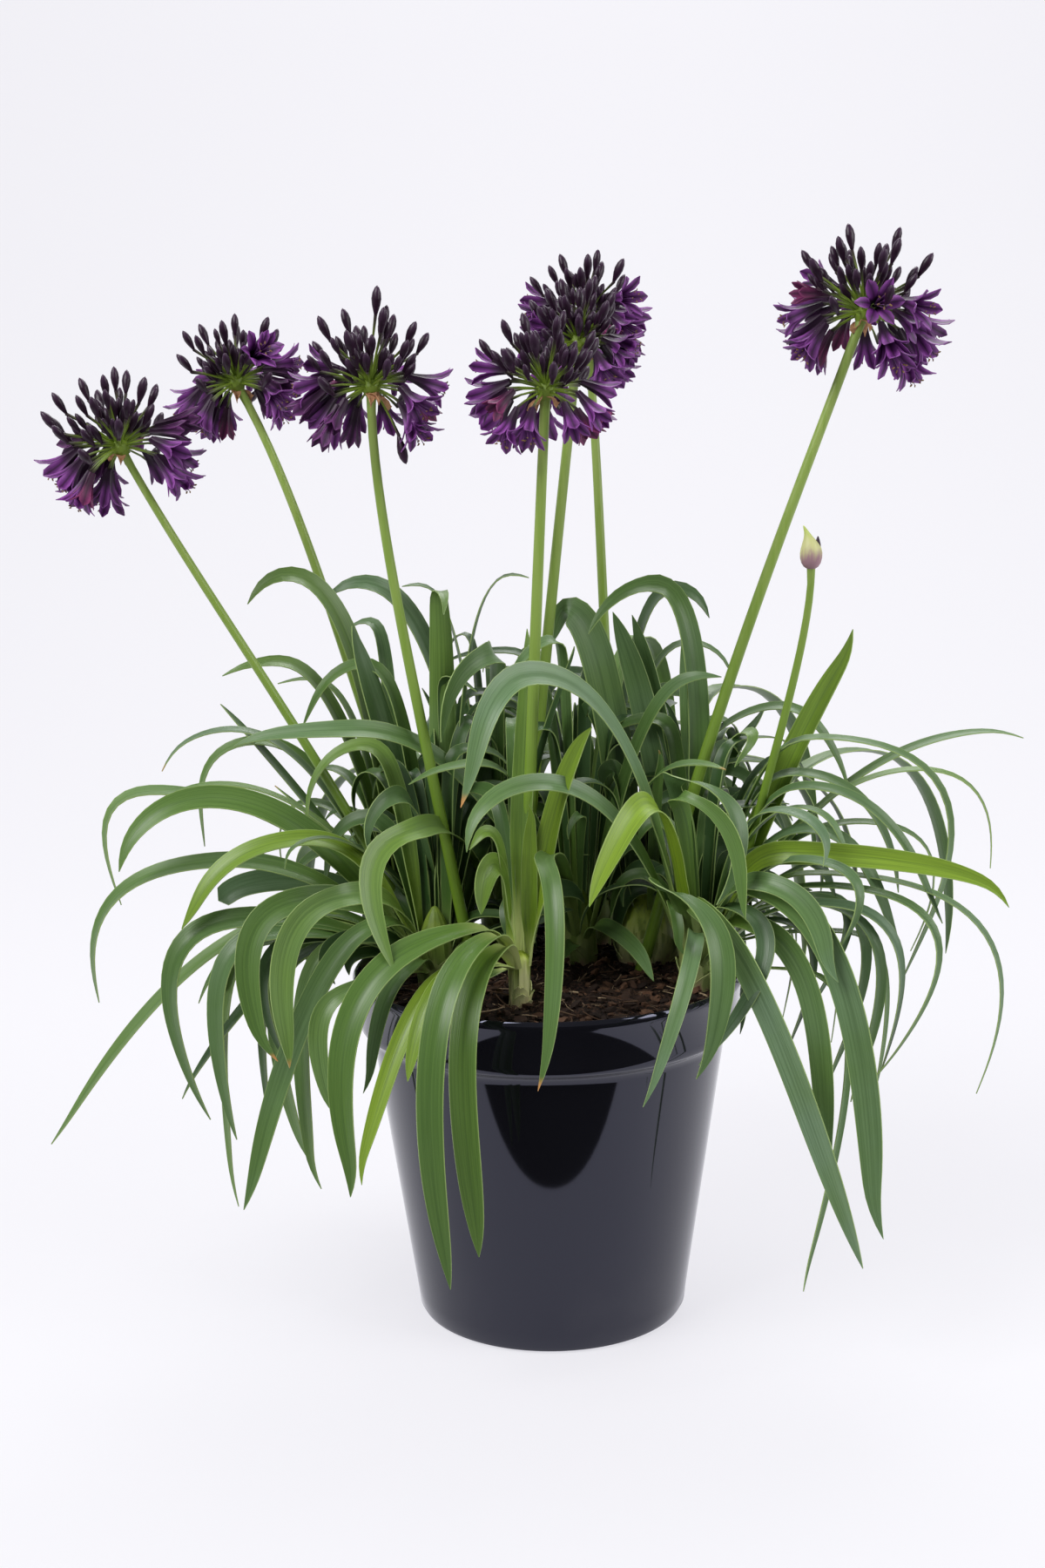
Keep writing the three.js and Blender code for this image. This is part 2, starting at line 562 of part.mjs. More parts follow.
const pot = solid(turned([...POT_OUTSIDE, ...POT_INSIDE]));
const crowns = Object.fromEntries(Object.entries(CROWNS).map(([crown, row]) => [crown, makeCrown(row)]));
const stems = Object.values(STEMS).map((row) => makeStem(row));
const sockets = [
  ...Object.values(CROWNS).map((row) => makeCrown(row, CLEARANCE)),
  ...Object.values(STEMS).map((row) => makeStem(row, CLEARANCE)),
];
const soil = makeSoil().subtract(kernel.Manifold.union(sockets));
const leaves = growLeaves([pot, soil, ...stems], crowns);

plant.add(mesh('pot', 'pot', pot), mesh('soil', 'soil', soil));
for (const crown of Object.keys(CROWNS)) {
  const blades = leaves[crown].map(({ whole }) => whole);
  plant.add(mesh(`leaf_fan_${crown}`, 'leaf', kernel.Manifold.union([crowns[crown], ...blades])));
}
for (const [stem, row] of Object.entries(STEMS)) {
  const socket = makeStem(row, CLEARANCE);
  plant.add(mesh(`flower_stem_${stem}`, 'stem', makeStem(row)));
  if (HEADS[stem]) {
    const head = makeHead(row, HEADS[stem], SEED + Number(stem)).subtract(socket);
    plant.add(mesh(`flower_head_${stem}`, 'flower', head));
  } else {
    plant.add(mesh(`flower_bud_${stem}`, 'sheath', makeSheath(row.slice(5)).subtract(socket)));
  }
}

export default plant;
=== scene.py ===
"""African lily in a black nursery pot: the finished look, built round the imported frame.

Sizes in the tables are millimetres, as on the solids, and everything made from them is in metres.
The origin is under the middle of the pot, +Z is up, and the fuller side of the plant faces -Y.
"""
import logging
import math
from collections.abc import Callable, Iterator
from contextlib import contextmanager
from dataclasses import dataclass, field
from enum import Enum
from functools import cache

import bpy
import numpy as np
from mathutils import Matrix, Quaternion, Vector, noise
from mathutils.kdtree import KDTree


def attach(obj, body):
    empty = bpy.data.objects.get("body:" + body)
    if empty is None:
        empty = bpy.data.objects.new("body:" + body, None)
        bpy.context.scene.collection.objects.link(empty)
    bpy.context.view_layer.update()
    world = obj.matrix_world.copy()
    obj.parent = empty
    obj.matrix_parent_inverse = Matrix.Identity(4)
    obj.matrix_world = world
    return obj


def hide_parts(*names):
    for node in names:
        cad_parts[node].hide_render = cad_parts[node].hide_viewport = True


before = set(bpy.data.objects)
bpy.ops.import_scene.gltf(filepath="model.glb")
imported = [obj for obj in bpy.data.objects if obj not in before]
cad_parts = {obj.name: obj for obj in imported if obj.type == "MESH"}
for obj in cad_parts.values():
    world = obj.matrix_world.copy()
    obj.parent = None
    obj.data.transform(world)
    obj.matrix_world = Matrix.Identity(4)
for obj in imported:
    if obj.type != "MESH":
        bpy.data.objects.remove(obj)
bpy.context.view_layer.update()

LOG = logging.getLogger("agapanthus")

MM = 0.001
UP = Vector((0, 0, 1))
TURN = 2 * math.pi
ROOT_BODY = "root"
SEED = 20  # of every draw that the solids share
FILL_SEED = 77  # of the draws for what only shows here
GOLDEN_ANGLE = math.pi * (3 - math.sqrt(5))

Piece = bpy.types.Object
Socket = bpy.types.NodeSocket
Material = bpy.types.Material
Colour = tuple[float, float, float]
Place = tuple[float, float, float]
Row = tuple[float, ...]
Span = tuple[float, float]
Section = tuple[Span, ...]

# Crowns, the swollen leaf bases: x, y, radius at the soil and height of the top.
CROWNS: dict[int, Row] = {
    1: (-19, -55, 10, 292),
    2: (22, 40, 12, 285),
    3: (70, 48, 16, 282),
    4: (101, 22, 10, 282),
    5: (-68, 30, 12, 284),
    6: (-74, -14, 12, 280),
    7: (-32, 88, 12, 286),
    8: (34, 92, 12, 286),
    9: (-94, 62, 10, 282),
    10: (97, -22, 10, 280),
}
LEAF_ROOT = 236  # height inside a crown from which its leaves grow
NECK_ROOT = 250  # the same in a crown with a neck
ROOT_OUT = 0.6  # how far out in it, as a share of its radius
RIM_TOP = 242  # a leaf that ends nearer the middle than OVER_RIM stays above this
OVER_RIM = 158

# Foot of a crown, as shares of its radius and heights: a round bulb, or a slim neck.
BULB: Section = (
    (0, 206), (0.86, 206), (0.9, 226), (1.0, 235), (1.04, 244), (0.96, 254), (0.76, 264), (0.46, 273),
    (0.16, 279), (0, 280),
)
NECK: Section = (
    (0, 206), (0.62, 206), (0.64, 226), (0.66, 236), (0.76, 246), (0.9, 256), (0.96, 264), (0.8, 272),
    (0.4, 280), (0, 282),
)
NECKED = {1}  # crowns with a neck
NECK_SLIMS = (240, 258)  # heights between which a neck slims
NECK_SLIMMEST = 0.74  # how far
NECK_STUMP = 0.3  # how much of a neck is left above the roots of its leaves
NECK_WRAPS = 0.38  # how high the old leaf bases reach on a neck, next to those on a bulb
FULL = {3: 1.35}  # crowns that are fuller than the solids, and how much

# Leaves: crest x, y, z; shoulder x, y, the corner that the fall bends round; tip x, y, z; width;
# lift, the share of the way to the crest at which the climb turns over; and twist in degrees.
CREST, TIP = slice(0, 3), slice(5, 8)
CREST_TOP, TIP_TOP, WIDTH, TWIST = 2, 7, 8, 10
LEAVES: dict[int, list[Row]] = {
    1: [
        (-46, -90, 285, -155, -150, -119, -150, 132, 16.5, 0.3, 25),
        (-38, -110, 284, -90, -200, -62, -175, 83, 15, 0.3, 15),
        (-30, -100, 275, -68, -185, -45, -165, 99, 15, 0.3, 10),
        (-55, -100, 262, -90, -135, -119, -160, 145, 11.5, 0.4, 25),
        (-46, -100, 276, -60, -130, -72, -140, 217, 15, 0.4, 10),
        (-60, -110, 262, -75, -140, -87, -150, 205, 11, 0.4, 15),
        (-31, -70, 323, -38, -80, -42, -85, 291, 15, 0.1, 60),
        (-36, -65, 343, -44, -68, -47, -70, 328, 10, 0.1, 50),
        (20, -58, 400, 24, -59, 27, -60, 405, 14, 0.2, 60),
        (-11, -55, 350, -10, -55, -9, -55, 354, 10, 0.3, 80),
        (-10, -25, 457, -10, -22, -10, -20, 462, 13.5, 0.1, 0),
    ],
    2: [
        (9, -20, 457, -15, -35, -23, -40, 426, 11, 0.3, 35),
        (-4, -100, 330, 8, -150, -6, -160, 201, 11.5, 0.3, 0),
        (-124, -40, 402, -185, -42, -199, -40, 393, 13.5, 0.45, 45),
        (-48, -60, 383, -75, -75, -85, -80, 373, 9.5, 0.35, 30),
        (99, 0, 429, 110, 0, 114, 0, 424, 13.5, 0.4, 50),
        (95, -40, 378, 110, -48, 115, -50, 375, 9.5, 0.4, 20),
        (35, 10, 262, 55, -30, 66, -62, 240, 11, 0.4, 30),
    ],
    3: [
        (16, 40, 471, 8, 55, 10, 60, 442, 24, 0.3, 60),
        (72, -15, 380, 75, -18, 76, -20, 383, 8, 0.3, 20),
    ],
    4: [
        (195, 0, 440, 201, 0, 205, 0, 453, 16.5, 0.5, 60),
        (298, 30, 384, 312, 30, 320, 30, 380, 11, 0.45, 40),
        (248, 10, 363, 302, 5, 294, 0, 296, 10, 0.45, 20),
        (170, -20, 390, 318, -30, 229, -30, 228, 11.5, 0.4, 25),
        (167, -40, 362, 225, -50, 251, -50, 271, 12.5, 0.4, 40),
        (164, -40, 348, 188, -50, 188, -60, 315, 8.5, 0.4, 30),
        (160, -10, 366, 222, -15, 231, -20, 286, 13.5, 0.4, 35),
        (173, -40, 334, 205, -48, 225, -50, 253, 13.5, 0.4, 50),
        (169, -40, 285, 245, -55, 192, -60, 156, 11, 0.4, 20),
        (201, -20, 260, 235, -30, 214, -30, 149, 8, 0.4, 20),
        (170, -20, 285, 240, -30, 180, -40, 161, 11, 0.4, 30),
        (187, -10, 282, 215, -30, 167, -40, 209, 11.5, 0.4, 40),
        (77, 40, 487, 45, 25, 28, 20, 455, 15.5, -1.2, 50),
        (131, 0, 394, 150, -10, 119, -20, 370, 10, 0.3, 20),
        (208, 20, 326, 290, 15, 244, 10, 237, 8.5, 0.4, 30),
        (52, 55, 460, 50, 58, 48, 60, 464, 16.5, 0.4, 60),
        (66, 66, 457, 64, 68, 62, 70, 461, 14, 0.4, 50),
        (97, 35, 450, 96, 38, 95, 40, 459, 8.5, 0.4, 20),
    ],
    5: [
        (-95, -60, 365, -112, -75, -115, -80, 331, 13.5, 0.35, 50),
        (-70, 20, 487, -62, 0, -60, -10, 471, 16.5, 0.1, 0),
        (-120, 21, 455, -123, 20, -126, 20, 461, 18.5, 0.45, 55),
        (-20, 0, 497, -12, 0, -6, 0, 495, 9.5, 0, 20),
        (-115, 30, 437, -150, 25, -158, 20, 394, 11, 0.35, 40),
        (-266, 20, 355, -312, 10, -282, 0, 280, 11.5, 0.5, 20),
        (-218, 10, 360, -250, 4, -257, 0, 343, 8, 0.5, 15),
        (-172, 30, 352, -178, 30, -181, 30, 354, 8, 0.5, 15),
        (-175, 30, 290, -215, 24, -221, 20, 278, 15, 0.5, 70),
        (-173, 0, 266, -210, 0, -235, 0, 213, 8, 0.4, 15),
        (-188, -20, 260, -225, -30, -210, -40, 85, 8, 0.5, 20),
        (-167, -10, 257, -200, -20, -185, -30, 129, 8, 0.5, 20),
    ],
    6: [
        (-219, -20, 356, -262, -34, -277, -40, 313, 15.5, 0.45, 60),
        (-153, -40, 333, -215, -55, -230, -60, 277, 14, 0.4, 35),
        (-206, -10, 313, -318, -20, -296, -20, 219, 14, 0.45, 28),
        (-158, -20, 278, -235, -30, -328, -40, 128, 12.5, 0.45, 25),
        (-194, -50, 284, -275, -62, -220, -70, 155, 15.5, 0.45, 32),
        (-180, -60, 276, -231, -72, -202, -80, 145, 14, 0.4, 28),
        (-152, -80, 302, -208, -100, -175, -110, 205, 15.5, 0.35, 55),
        (-121, -90, 307, -178, -110, -158, -120, 205, 15.5, 0.3, 50),
        (-105, -60, 282, -150, -75, -195, -90, 101, 14, 0.3, 32),
        (-128, -50, 268, -175, -62, -154, -70, 108, 12.5, 0.4, 25),
        (-148, -20, 258, -204, -40, -159, -50, 116, 14, 0.45, 32),
        (-120, -100, 250, -161, -115, -134, -120, 170, 11.5, 0.3, 20),
        (-87, -100, 262, -105, -125, -112, -130, 191, 10, 0.3, 10),
        (-114, 0, 387, -155, -8, -158, -10, 334, 11.5, 0.3, 40),
    ],
    7: [
        (-28, 0, 445, -60, -25, -67, -30, 391, 18.5, 0.3, 55),
        (-121, 60, 488, -138, 60, -142, 60, 474, 17, 0.3, 50),
        (-80, 60, 486, -90, 54, -92, 50, 483, 11, 0.25, 30),
        (-81, -80, 345, -130, -110, -94, -120, 264, 15.5, 0.35, 40),
        (12, -35, 451, 17, -38, 21, -40, 455, 11, 0.4, 40),
    ],
    8: [
        (87, 60, 482, 108, 60, 114, 60, 459, 14, 0.3, 45),
        (98, 90, 441, 128, 90, 135, 90, 409, 10, 0.35, 20),
        (165, 40, 404, 190, 35, 209, 30, 344, 11.5, 0.45, 50),
    ],
    9: [
        (-168, 40, 496, -188, 34, -193, 30, 475, 17, 0.2, 50),
        (-175, 30, 440, -203, 22, -209, 20, 427, 13.5, 0.4, 40),
        (-156, 70, 422, -176, 70, -182, 70, 416, 9.5, 0.35, 15),
        (-212, 40, 392, -245, 25, -256, 20, 368, 10, 0.45, 15),
        (-194, 60, 381, -250, 60, -233, 60, 306, 9.5, 0.45, 30),
        (-210, 60, 400, -215, 60, -219, 60, 406, 9.5, 0.5, 20),
        (-121, 90, 459, -142, 90, -149, 90, 439, 9.5, 0.3, 30),
    ],
    10: [
        (-11, -80, 443, -42, -110, -48, -120, 365, 17, 0.3, 50),
        (59, -110, 366, 48, -130, 22, -150, 311, 15.5, 0.35, 40),
        (75, -60, 372, 145, -80, 109, -90, 296, 14, 0.3, 40),
        (77, -70, 363, 125, -90, 118, -100, 289, 11.5, 0.3, 30),
        (-8, -70, 372, -45, -90, -53, -95, 334, 12.5, 0.35, 45),
        (168, -40, 305, 335, -55, 275, -60, 161, 11.5, 0.4, 20),
        (149, -60, 322, 270, -75, 291, -80, 292, 14, 0.35, 70),
        (143, -60, 351, 178, -80, 174, -90, 320, 11.5, 0.35, 40),
        (162, -70, 321, 218, -95, 179, -100, 269, 11, 0.4, 40),
        (173, -50, 299, 305, -75, 204, -80, 176, 11, 0.4, 20),
        (177, -60, 290, 248, -75, 209, -80, 183, 11.5, 0.4, 22),
        (125, -80, 307, 195, -120, 197, -130, 92, 16.5, 0.35, 55),
        (122, -60, 279, 175, -100, 171, -110, 131, 13.5, 0.35, 50),
        (166, -60, 245, 215, -90, 157, -100, 44, 7, 0.4, 20),
        (129, -90, 311, 168, -110, 169, -120, 253, 13.5, 0.35, 40),
        (88, -72, 293, 122, -115, 189, -140, 77, 15.5, 0.35, 55),
        (66, -80, 307, 130, -125, 92, -130, 197, 16.5, 0.3, 30),
        (114, -60, 290, 165, -110, 91, -110, 199, 11, 0.35, 20),
        (92, -90, 278, 85, -150, 55, -160, 190, 10, 0.3, 20),
    ],
}

# The leaves over the back of the pot, spread evenly between two headings.
BACK_LEAVES = 27
BACK_CROWNS = (8, 7, 4, 9, 3, 7, 8, 5, 2)
BACK_HEADINGS = (28, 152)  # degrees round from +X
BACK_STAGGER = (0.2, 0.6)  # where in its share of them a leaf may stand, and how far that reaches
BACK_CREST_OUT = (70, 150)
BACK_CREST_HEIGHT = (290, 410)
BACK_FALL_OUT = (60, 130)
BACK_FALL = (40, 210)
BACK_WIDTH = (11, 16)
BACK_LIFT = 0.35

# On the solids, a leaf that was not clear of the others was moved across and up at its crest, one of
# NUDGE_WAYS ways round a ring, and further at its tip.
NUDGE_RINGS = (7, 14, 21, 30)
NUDGE_WAYS = 8
TIP_SHIFT = 1.4
UNMOVED = (0.0, 0.0)
NUDGES = [UNMOVED] + [
    (ring * math.cos(k * TURN / NUDGE_WAYS), ring * math.sin(k * TURN / NUDGE_WAYS))
    for ring in NUDGE_RINGS for k in range(NUDGE_WAYS)
]
FRONT = 0  # here the leaves whose crest is nearer than this in Y are not moved

# Small leaves that only this look has: how many, as a share of the usual, and how tall.
CROWDING = {1: 0.3, 10: 0.6}  # in the crowns in front
SPEARS = {2: (262, 430), 5: (262, 425), 7: (262, 455), 8: (262, 450)}
SHORT_SPEARS = (262, 405)  # in the other crowns

# How far from blue-green to yellow-green the leaves of a crown are, and those that stand out.
CROWN_TONES = {1: 0.42, 2: 0.42, 3: 0.42, 4: 0.42, 5: 0.42, 6: 0.52, 7: 0.3, 8: 0.4, 9: 0.4, 10: 0.38}
CROWN_BLOOMS_AND_SHEEN = {1: 0.08, 2: 0.4, 4: 0.5, 6: 0.3, 7: 0.5, 10: 0.62}  # how greyed the leaves are, by waxy bloom and by painted sheen
BLOOM_AND_SHEEN = 0.35  # the same in the other crowns
CROWN_UNSHADED = {1: 1.0, 3: 0.72, 10: 0.4}  # how much of the feet of the crowns and of their leaf bases keeps its own light colour; the rest is painted shade
UNSHADED_ELSEWHERE = 0.22  # the same in the other crowns, which stand in shadow
TONE_SPREAD = (-0.26, 0.24)  # a leaf's tone next to its crown's
BACK_TONES = (-0.1, 0.3)  # the same over the back
BLOOM_AND_SHEEN_SPREAD = (0.4, 1.4)  # a leaf's bloom and painted sheen, as a share of its crown's
LEAF_TONES: dict[Row, float] = {  # by crest
    (-175, 30, 290): 0.22,
    (-219, -20, 356): 0.5,
    (-81, -80, 345): 0.64,
    (20, -58, 400): 0.8,
    (-11, -55, 350): 0.74,
    (-31, -70, 323): 0.66,
    (-36, -65, 343): 0.66,
    (59, -110, 366): 0.84,
    (149, -60, 322): 0.8,
    (195, 0, 440): 0.72,
    (298, 30, 384): 0.5,
    (-8, -70, 372): 0.5,
    (-46, -90, 285): 0.4,
    (-38, -110, 284): 0.36,
    (-30, -100, 275): 0.5,
    (-55, -100, 262): 0.82,
    (-60, -110, 262): 0.76,
    (-10, -25, 457): 0.62,
}
LEVEL_BEYOND = 140  # leaves whose crest is further to +X turn and spread less than on the solids
LEVEL_TWIST = 0.4
LEVEL_WIDTH = 0.84
LEVEL_TONE = 0.7  # the brightest keep their turn
CUT_LEAF = (-175, 30, 290)  # crest of the leaf whose end is cut off square
CUT_TAPER = 12  # how many times later it narrows
SCORCHED = {(-11, -80, 443), (-4, -100, 330), (-152, -80, 302)}  # crests of those with orange tips
FAINT_SCORCH = 0.6  # on some of the others
FAINTLY_SCORCHED = 0.1  # their share

# Flower stems: foot x, y; the point x, y, z towards which the stem leans; top x, y, z.
STEMS: dict[int, Row] = {
    1: (-55, 12, -161, 1, 404, -266, -10, 580),
    2: (-66, 75, -160, 95, 525, -207, 110, 620),
    3: (-42, -8, -105, -27, 530, -105, -30, 615),
    4: (-18, -33, -8, -42, 424, 3, -50, 611),
    5: (56, 98, 43, 120, 447, 34, 142, 662),
    6: (54, 8, 133, 5, 488, 205, 0, 656),
    7: (-24, 34, 0, 40, 430, 26, 45, 642),
    8: (104, 2, 169, -20, 460, 169, -30, 499),
}
STEM_FOOT = 196
STEM_GIRTH = {1: 0.82, 2: 0.92, 3: 0.92, 5: 0.92, 8: 0.76}  # stems slimmer than the others
STEM_BOWS = {1: -3.5, 2: 2.8, 3: -1.8, 5: 2.2, 6: 2.8, 8: 2.5}  # how far they bow to +X below the head
BOW_PEAK = 12.2  # makes a bow as high as that
HEAD_REACH = {1: 56, 2: 52, 3: 55, 4: 53, 5: 50, 6: 60, 7: 46}


class Draws:
    """Seeded numbers, the same each run and the same as those the solids were grown from."""

    FACTOR, ADDEND, WHOLE = 1664525, 1013904223, 2**32  # of a linear congruential generator

    def __init__(self, seed: int) -> None:
        """Args: seed: where the run of numbers starts."""
        self.state = seed

    def one(self) -> float:
        """Returns: the next number from 0 to 1."""
        self.state = (self.state * self.FACTOR + self.ADDEND) % self.WHOLE
        return self.state / self.WHOLE

    def between(self, low: float, high: float) -> float:
        """Returns: the next number, spread from low to high."""
        return low + (high - low) * self.one()


# ---------------------------------------------------------------- finishes


class Graph:
    """Shader graph of one material, with a short call for each kind of node it uses."""

    def __init__(self, name: str) -> None:
        """Args: name: the material's name."""
        self.material = bpy.data.materials.new(name)
        self.material.use_nodes = True
        self.tree = self.material.node_tree
        self.skin = self.tree.nodes["Principled BSDF"]

    def node(self, kind: str, settings: dict | None = None, **sockets: object) -> bpy.types.Node:
        """Adds a node.

        Args:
            kind: Blender's name for the node, without ShaderNode.
            settings: properties of the node.
            **sockets: what each input gets, a value or the socket that feeds it.

        Returns:
            The node.
        """
        made = self.tree.nodes.new("ShaderNode" + kind)
        for key, value in (settings or {}).items():
            setattr(made, key, value)
        for key, value in sockets.items():
            self.feed(made.inputs[key.replace("_", " ")], value)
        return made

    def feed(self, socket: Socket, value: object) -> None:
        """Gives a socket a value, or links it to the socket given."""
        if isinstance(value, Socket):
            self.tree.links.new(value, socket)
        elif isinstance(value, tuple) and socket.type == "RGBA":
            socket.default_value = (*value, 1)
        else:
            socket.default_value = value

    def place(self, stretch: Place = (1, 1, 1)) -> Socket:
        """Returns: the point on the object, in metres, stretched along each axis."""
        point = self.node("TexCoord").outputs["Object"]
        return self.node("Mapping", Vector=point, Scale=stretch).outputs["Vector"]

    def height(self) -> Socket:
        """Returns: the height over the floor, in metres."""
        return self.node("SeparateXYZ", Vector=self.place()).outputs["Z"]

    def laid(self) -> tuple[Socket, Socket, Socket]:
        """Returns: shares across and along a blade, and how far from its middle line, 0 to 1."""
        split = self.node("SeparateXYZ", Vector=self.node("UVMap", {"uv_map": "UVMap"}).outputs["UV"])
        across, along = split.outputs["X"], split.outputs["Y"]
        off_centre = self.times(self.worked("ABSOLUTE", self.worked("SUBTRACT", across, 0.5)), 2.0)
        return across, along, off_centre

    def speckle(self, scale: float, detail: float = 4, vector: object = None) -> Socket:
        """Returns: the height of a noise of that scale, from 0 to 1."""
        where = vector if vector is not None else self.place()
        return self.node("TexNoise", Vector=where, Scale=scale, Detail=detail).outputs["Fac"]

    def mark(self, name: str) -> Socket:
        """Returns: the value of a mesh attribute."""
        return self.node("Attribute", {"attribute_name": name}).outputs["Fac"]

    def worked(self, operation: str, *values: object) -> Socket:
        """Returns: the result of a Math node on those values."""
        made = self.node("Math", {"operation": operation})
        for socket, value in zip(made.inputs, values):
            self.feed(socket, value)
        return made.outputs[0]

    def times(self, *values: object) -> Socket:
        """Returns: two values multiplied."""
        return self.worked("MULTIPLY", *values)

    def plus(self, *values: object) -> Socket:
        """Returns: two values added."""
        return self.worked("ADD", *values)

    def strayed(self, value: object, grain: object, reach: float) -> Socket:
        """Returns: the value, moved up and down by a grain from 0 to 1, half of reach at most."""
        return self.plus(value, self.times(self.worked("SUBTRACT", grain, 0.5), reach))

    def ease(self, value: object, low: float, high: float, start: float = 0,
             end: float = 1) -> Socket:
        """Returns: start below low and end above high of value, and a smooth step between."""
        made = self.node("MapRange", {"interpolation_type": "SMOOTHSTEP"}, Value=value)
        for key, number in zip(("From Min", "From Max", "To Min", "To Max"), (low, high, start, end)):
            made.inputs[key].default_value = number
        return made.outputs["Result"]

    def blend(self, share: object, under: object, over: object) -> Socket:
        """Returns: the colour under with over laid on it by that share."""
        made = self.node("Mix", {"data_type": "RGBA"})
        factor, first, second, result = 0, 6, 7, 2  # the node's sockets for colours
        for number, value in ((factor, share), (first, under), (second, over)):
            self.feed(made.inputs[number], value)
        return made.outputs[result]

    def fade(self, under: object, over: object, value: object, *step: float) -> Socket:
        """Returns: the colour under with over laid on it by that step of value, as ease takes it."""
        return self.blend(self.ease(value, *step), under, over)

    def relief(self, height: object, strength: float, depth: float) -> None:
        """Raises the surface by a height from 0 to 1, depth metres at most."""
        bump = self.node("Bump", Height=height, Strength=strength, Distance=depth)
        self.feed(self.skin.inputs["Normal"], bump.outputs["Normal"])

    def surface(self, colour: object, roughness: object, **constants: float | Colour) -> Material:
        """Dresses the surface.

        Args:
            colour: base colour.
            roughness: roughness.
            **constants: plain numbers and colours for other sockets of the shader.

        Returns:
            The material.
        """
        self.feed(self.skin.inputs["Base Color"], colour)
        self.feed(self.skin.inputs["Roughness"], roughness)
        for key, value in constants.items():
            self.feed(self.skin.inputs[key.replace("_", " ")], value)
        return self.material


@dataclass(frozen=True)
class PotPlastic:
    """Black gloss plastic, with faint ripples and a breath of dust low down."""

    black: Colour = (0.004, 0.004, 0.0055)
    dust: Colour = (0.06, 0.056, 0.055)
    gloss: Colour = (0.74, 0.76, 1.0)
    dusted: float = 0.3  # how much of the dust shows at most
    polish: float = 0.05  # roughness where it is clean
    dulling: float = 0.5  # what dust adds to it

    def material(self) -> Material:
        """Returns: the material."""
        graph = Graph("black_gloss_plastic")
        specks = graph.ease(graph.speckle(900, detail=2), 0.68, 0.76)
        film = graph.ease(graph.speckle(14, detail=6), 0.45, 0.8)
        low = graph.ease(graph.height(), 0.0, 0.07, 1, 0)
        dusty = graph.times(graph.worked("MAXIMUM", specks, low), graph.times(film, self.dusted))
        graph.relief(graph.speckle(9, detail=1), strength=0.1, depth=0.0012)
        rough = graph.plus(self.polish, graph.times(dusty, self.dulling))
        return graph.surface(
            graph.blend(dusty, self.black, self.dust), rough, IOR=1.62, Specular_Tint=self.gloss,
            Sheen_Weight=0.12, Sheen_Roughness=0.3, Sheen_Tint=self.gloss)


@dataclass(frozen=True)
class PottingSoil:
    """Dark crumbly bark compost."""

    dark: Colour = (0.009, 0.005, 0.0035)
    light: Colour = (0.06, 0.03, 0.018)

    def material(self) -> Material:
        """Returns: the material."""
        graph = Graph("bark_compost")
        crumbs = graph.speckle(420, detail=8)
        colour = graph.fade(self.dark, self.light, crumbs, 0.4, 0.72)
        graph.relief(graph.plus(crumbs, graph.speckle(130, detail=6)), strength=1.0, depth=0.003)
        return graph.surface(colour, roughness=0.92, Specular_IOR_Level=0.25)


@dataclass(frozen=True)
class Litter:
    """Bark chips or plant fibres, each its own shade by the attribute tone."""

    name: str
    dark: Colour
    light: Colour

    def material(self) -> Material:
        """Returns: the material."""
        graph = Graph(self.name)
        grain = graph.speckle(300, detail=6)
        colour = graph.blend(graph.mark("tone"), self.dark, self.light)
        colour = graph.fade(colour, self.dark, grain, 0.35, 0.7, 0, 0.5)
        graph.relief(grain, strength=0.7, depth=0.0008)
        return graph.surface(colour, roughness=0.88, Specular_IOR_Level=0.3)


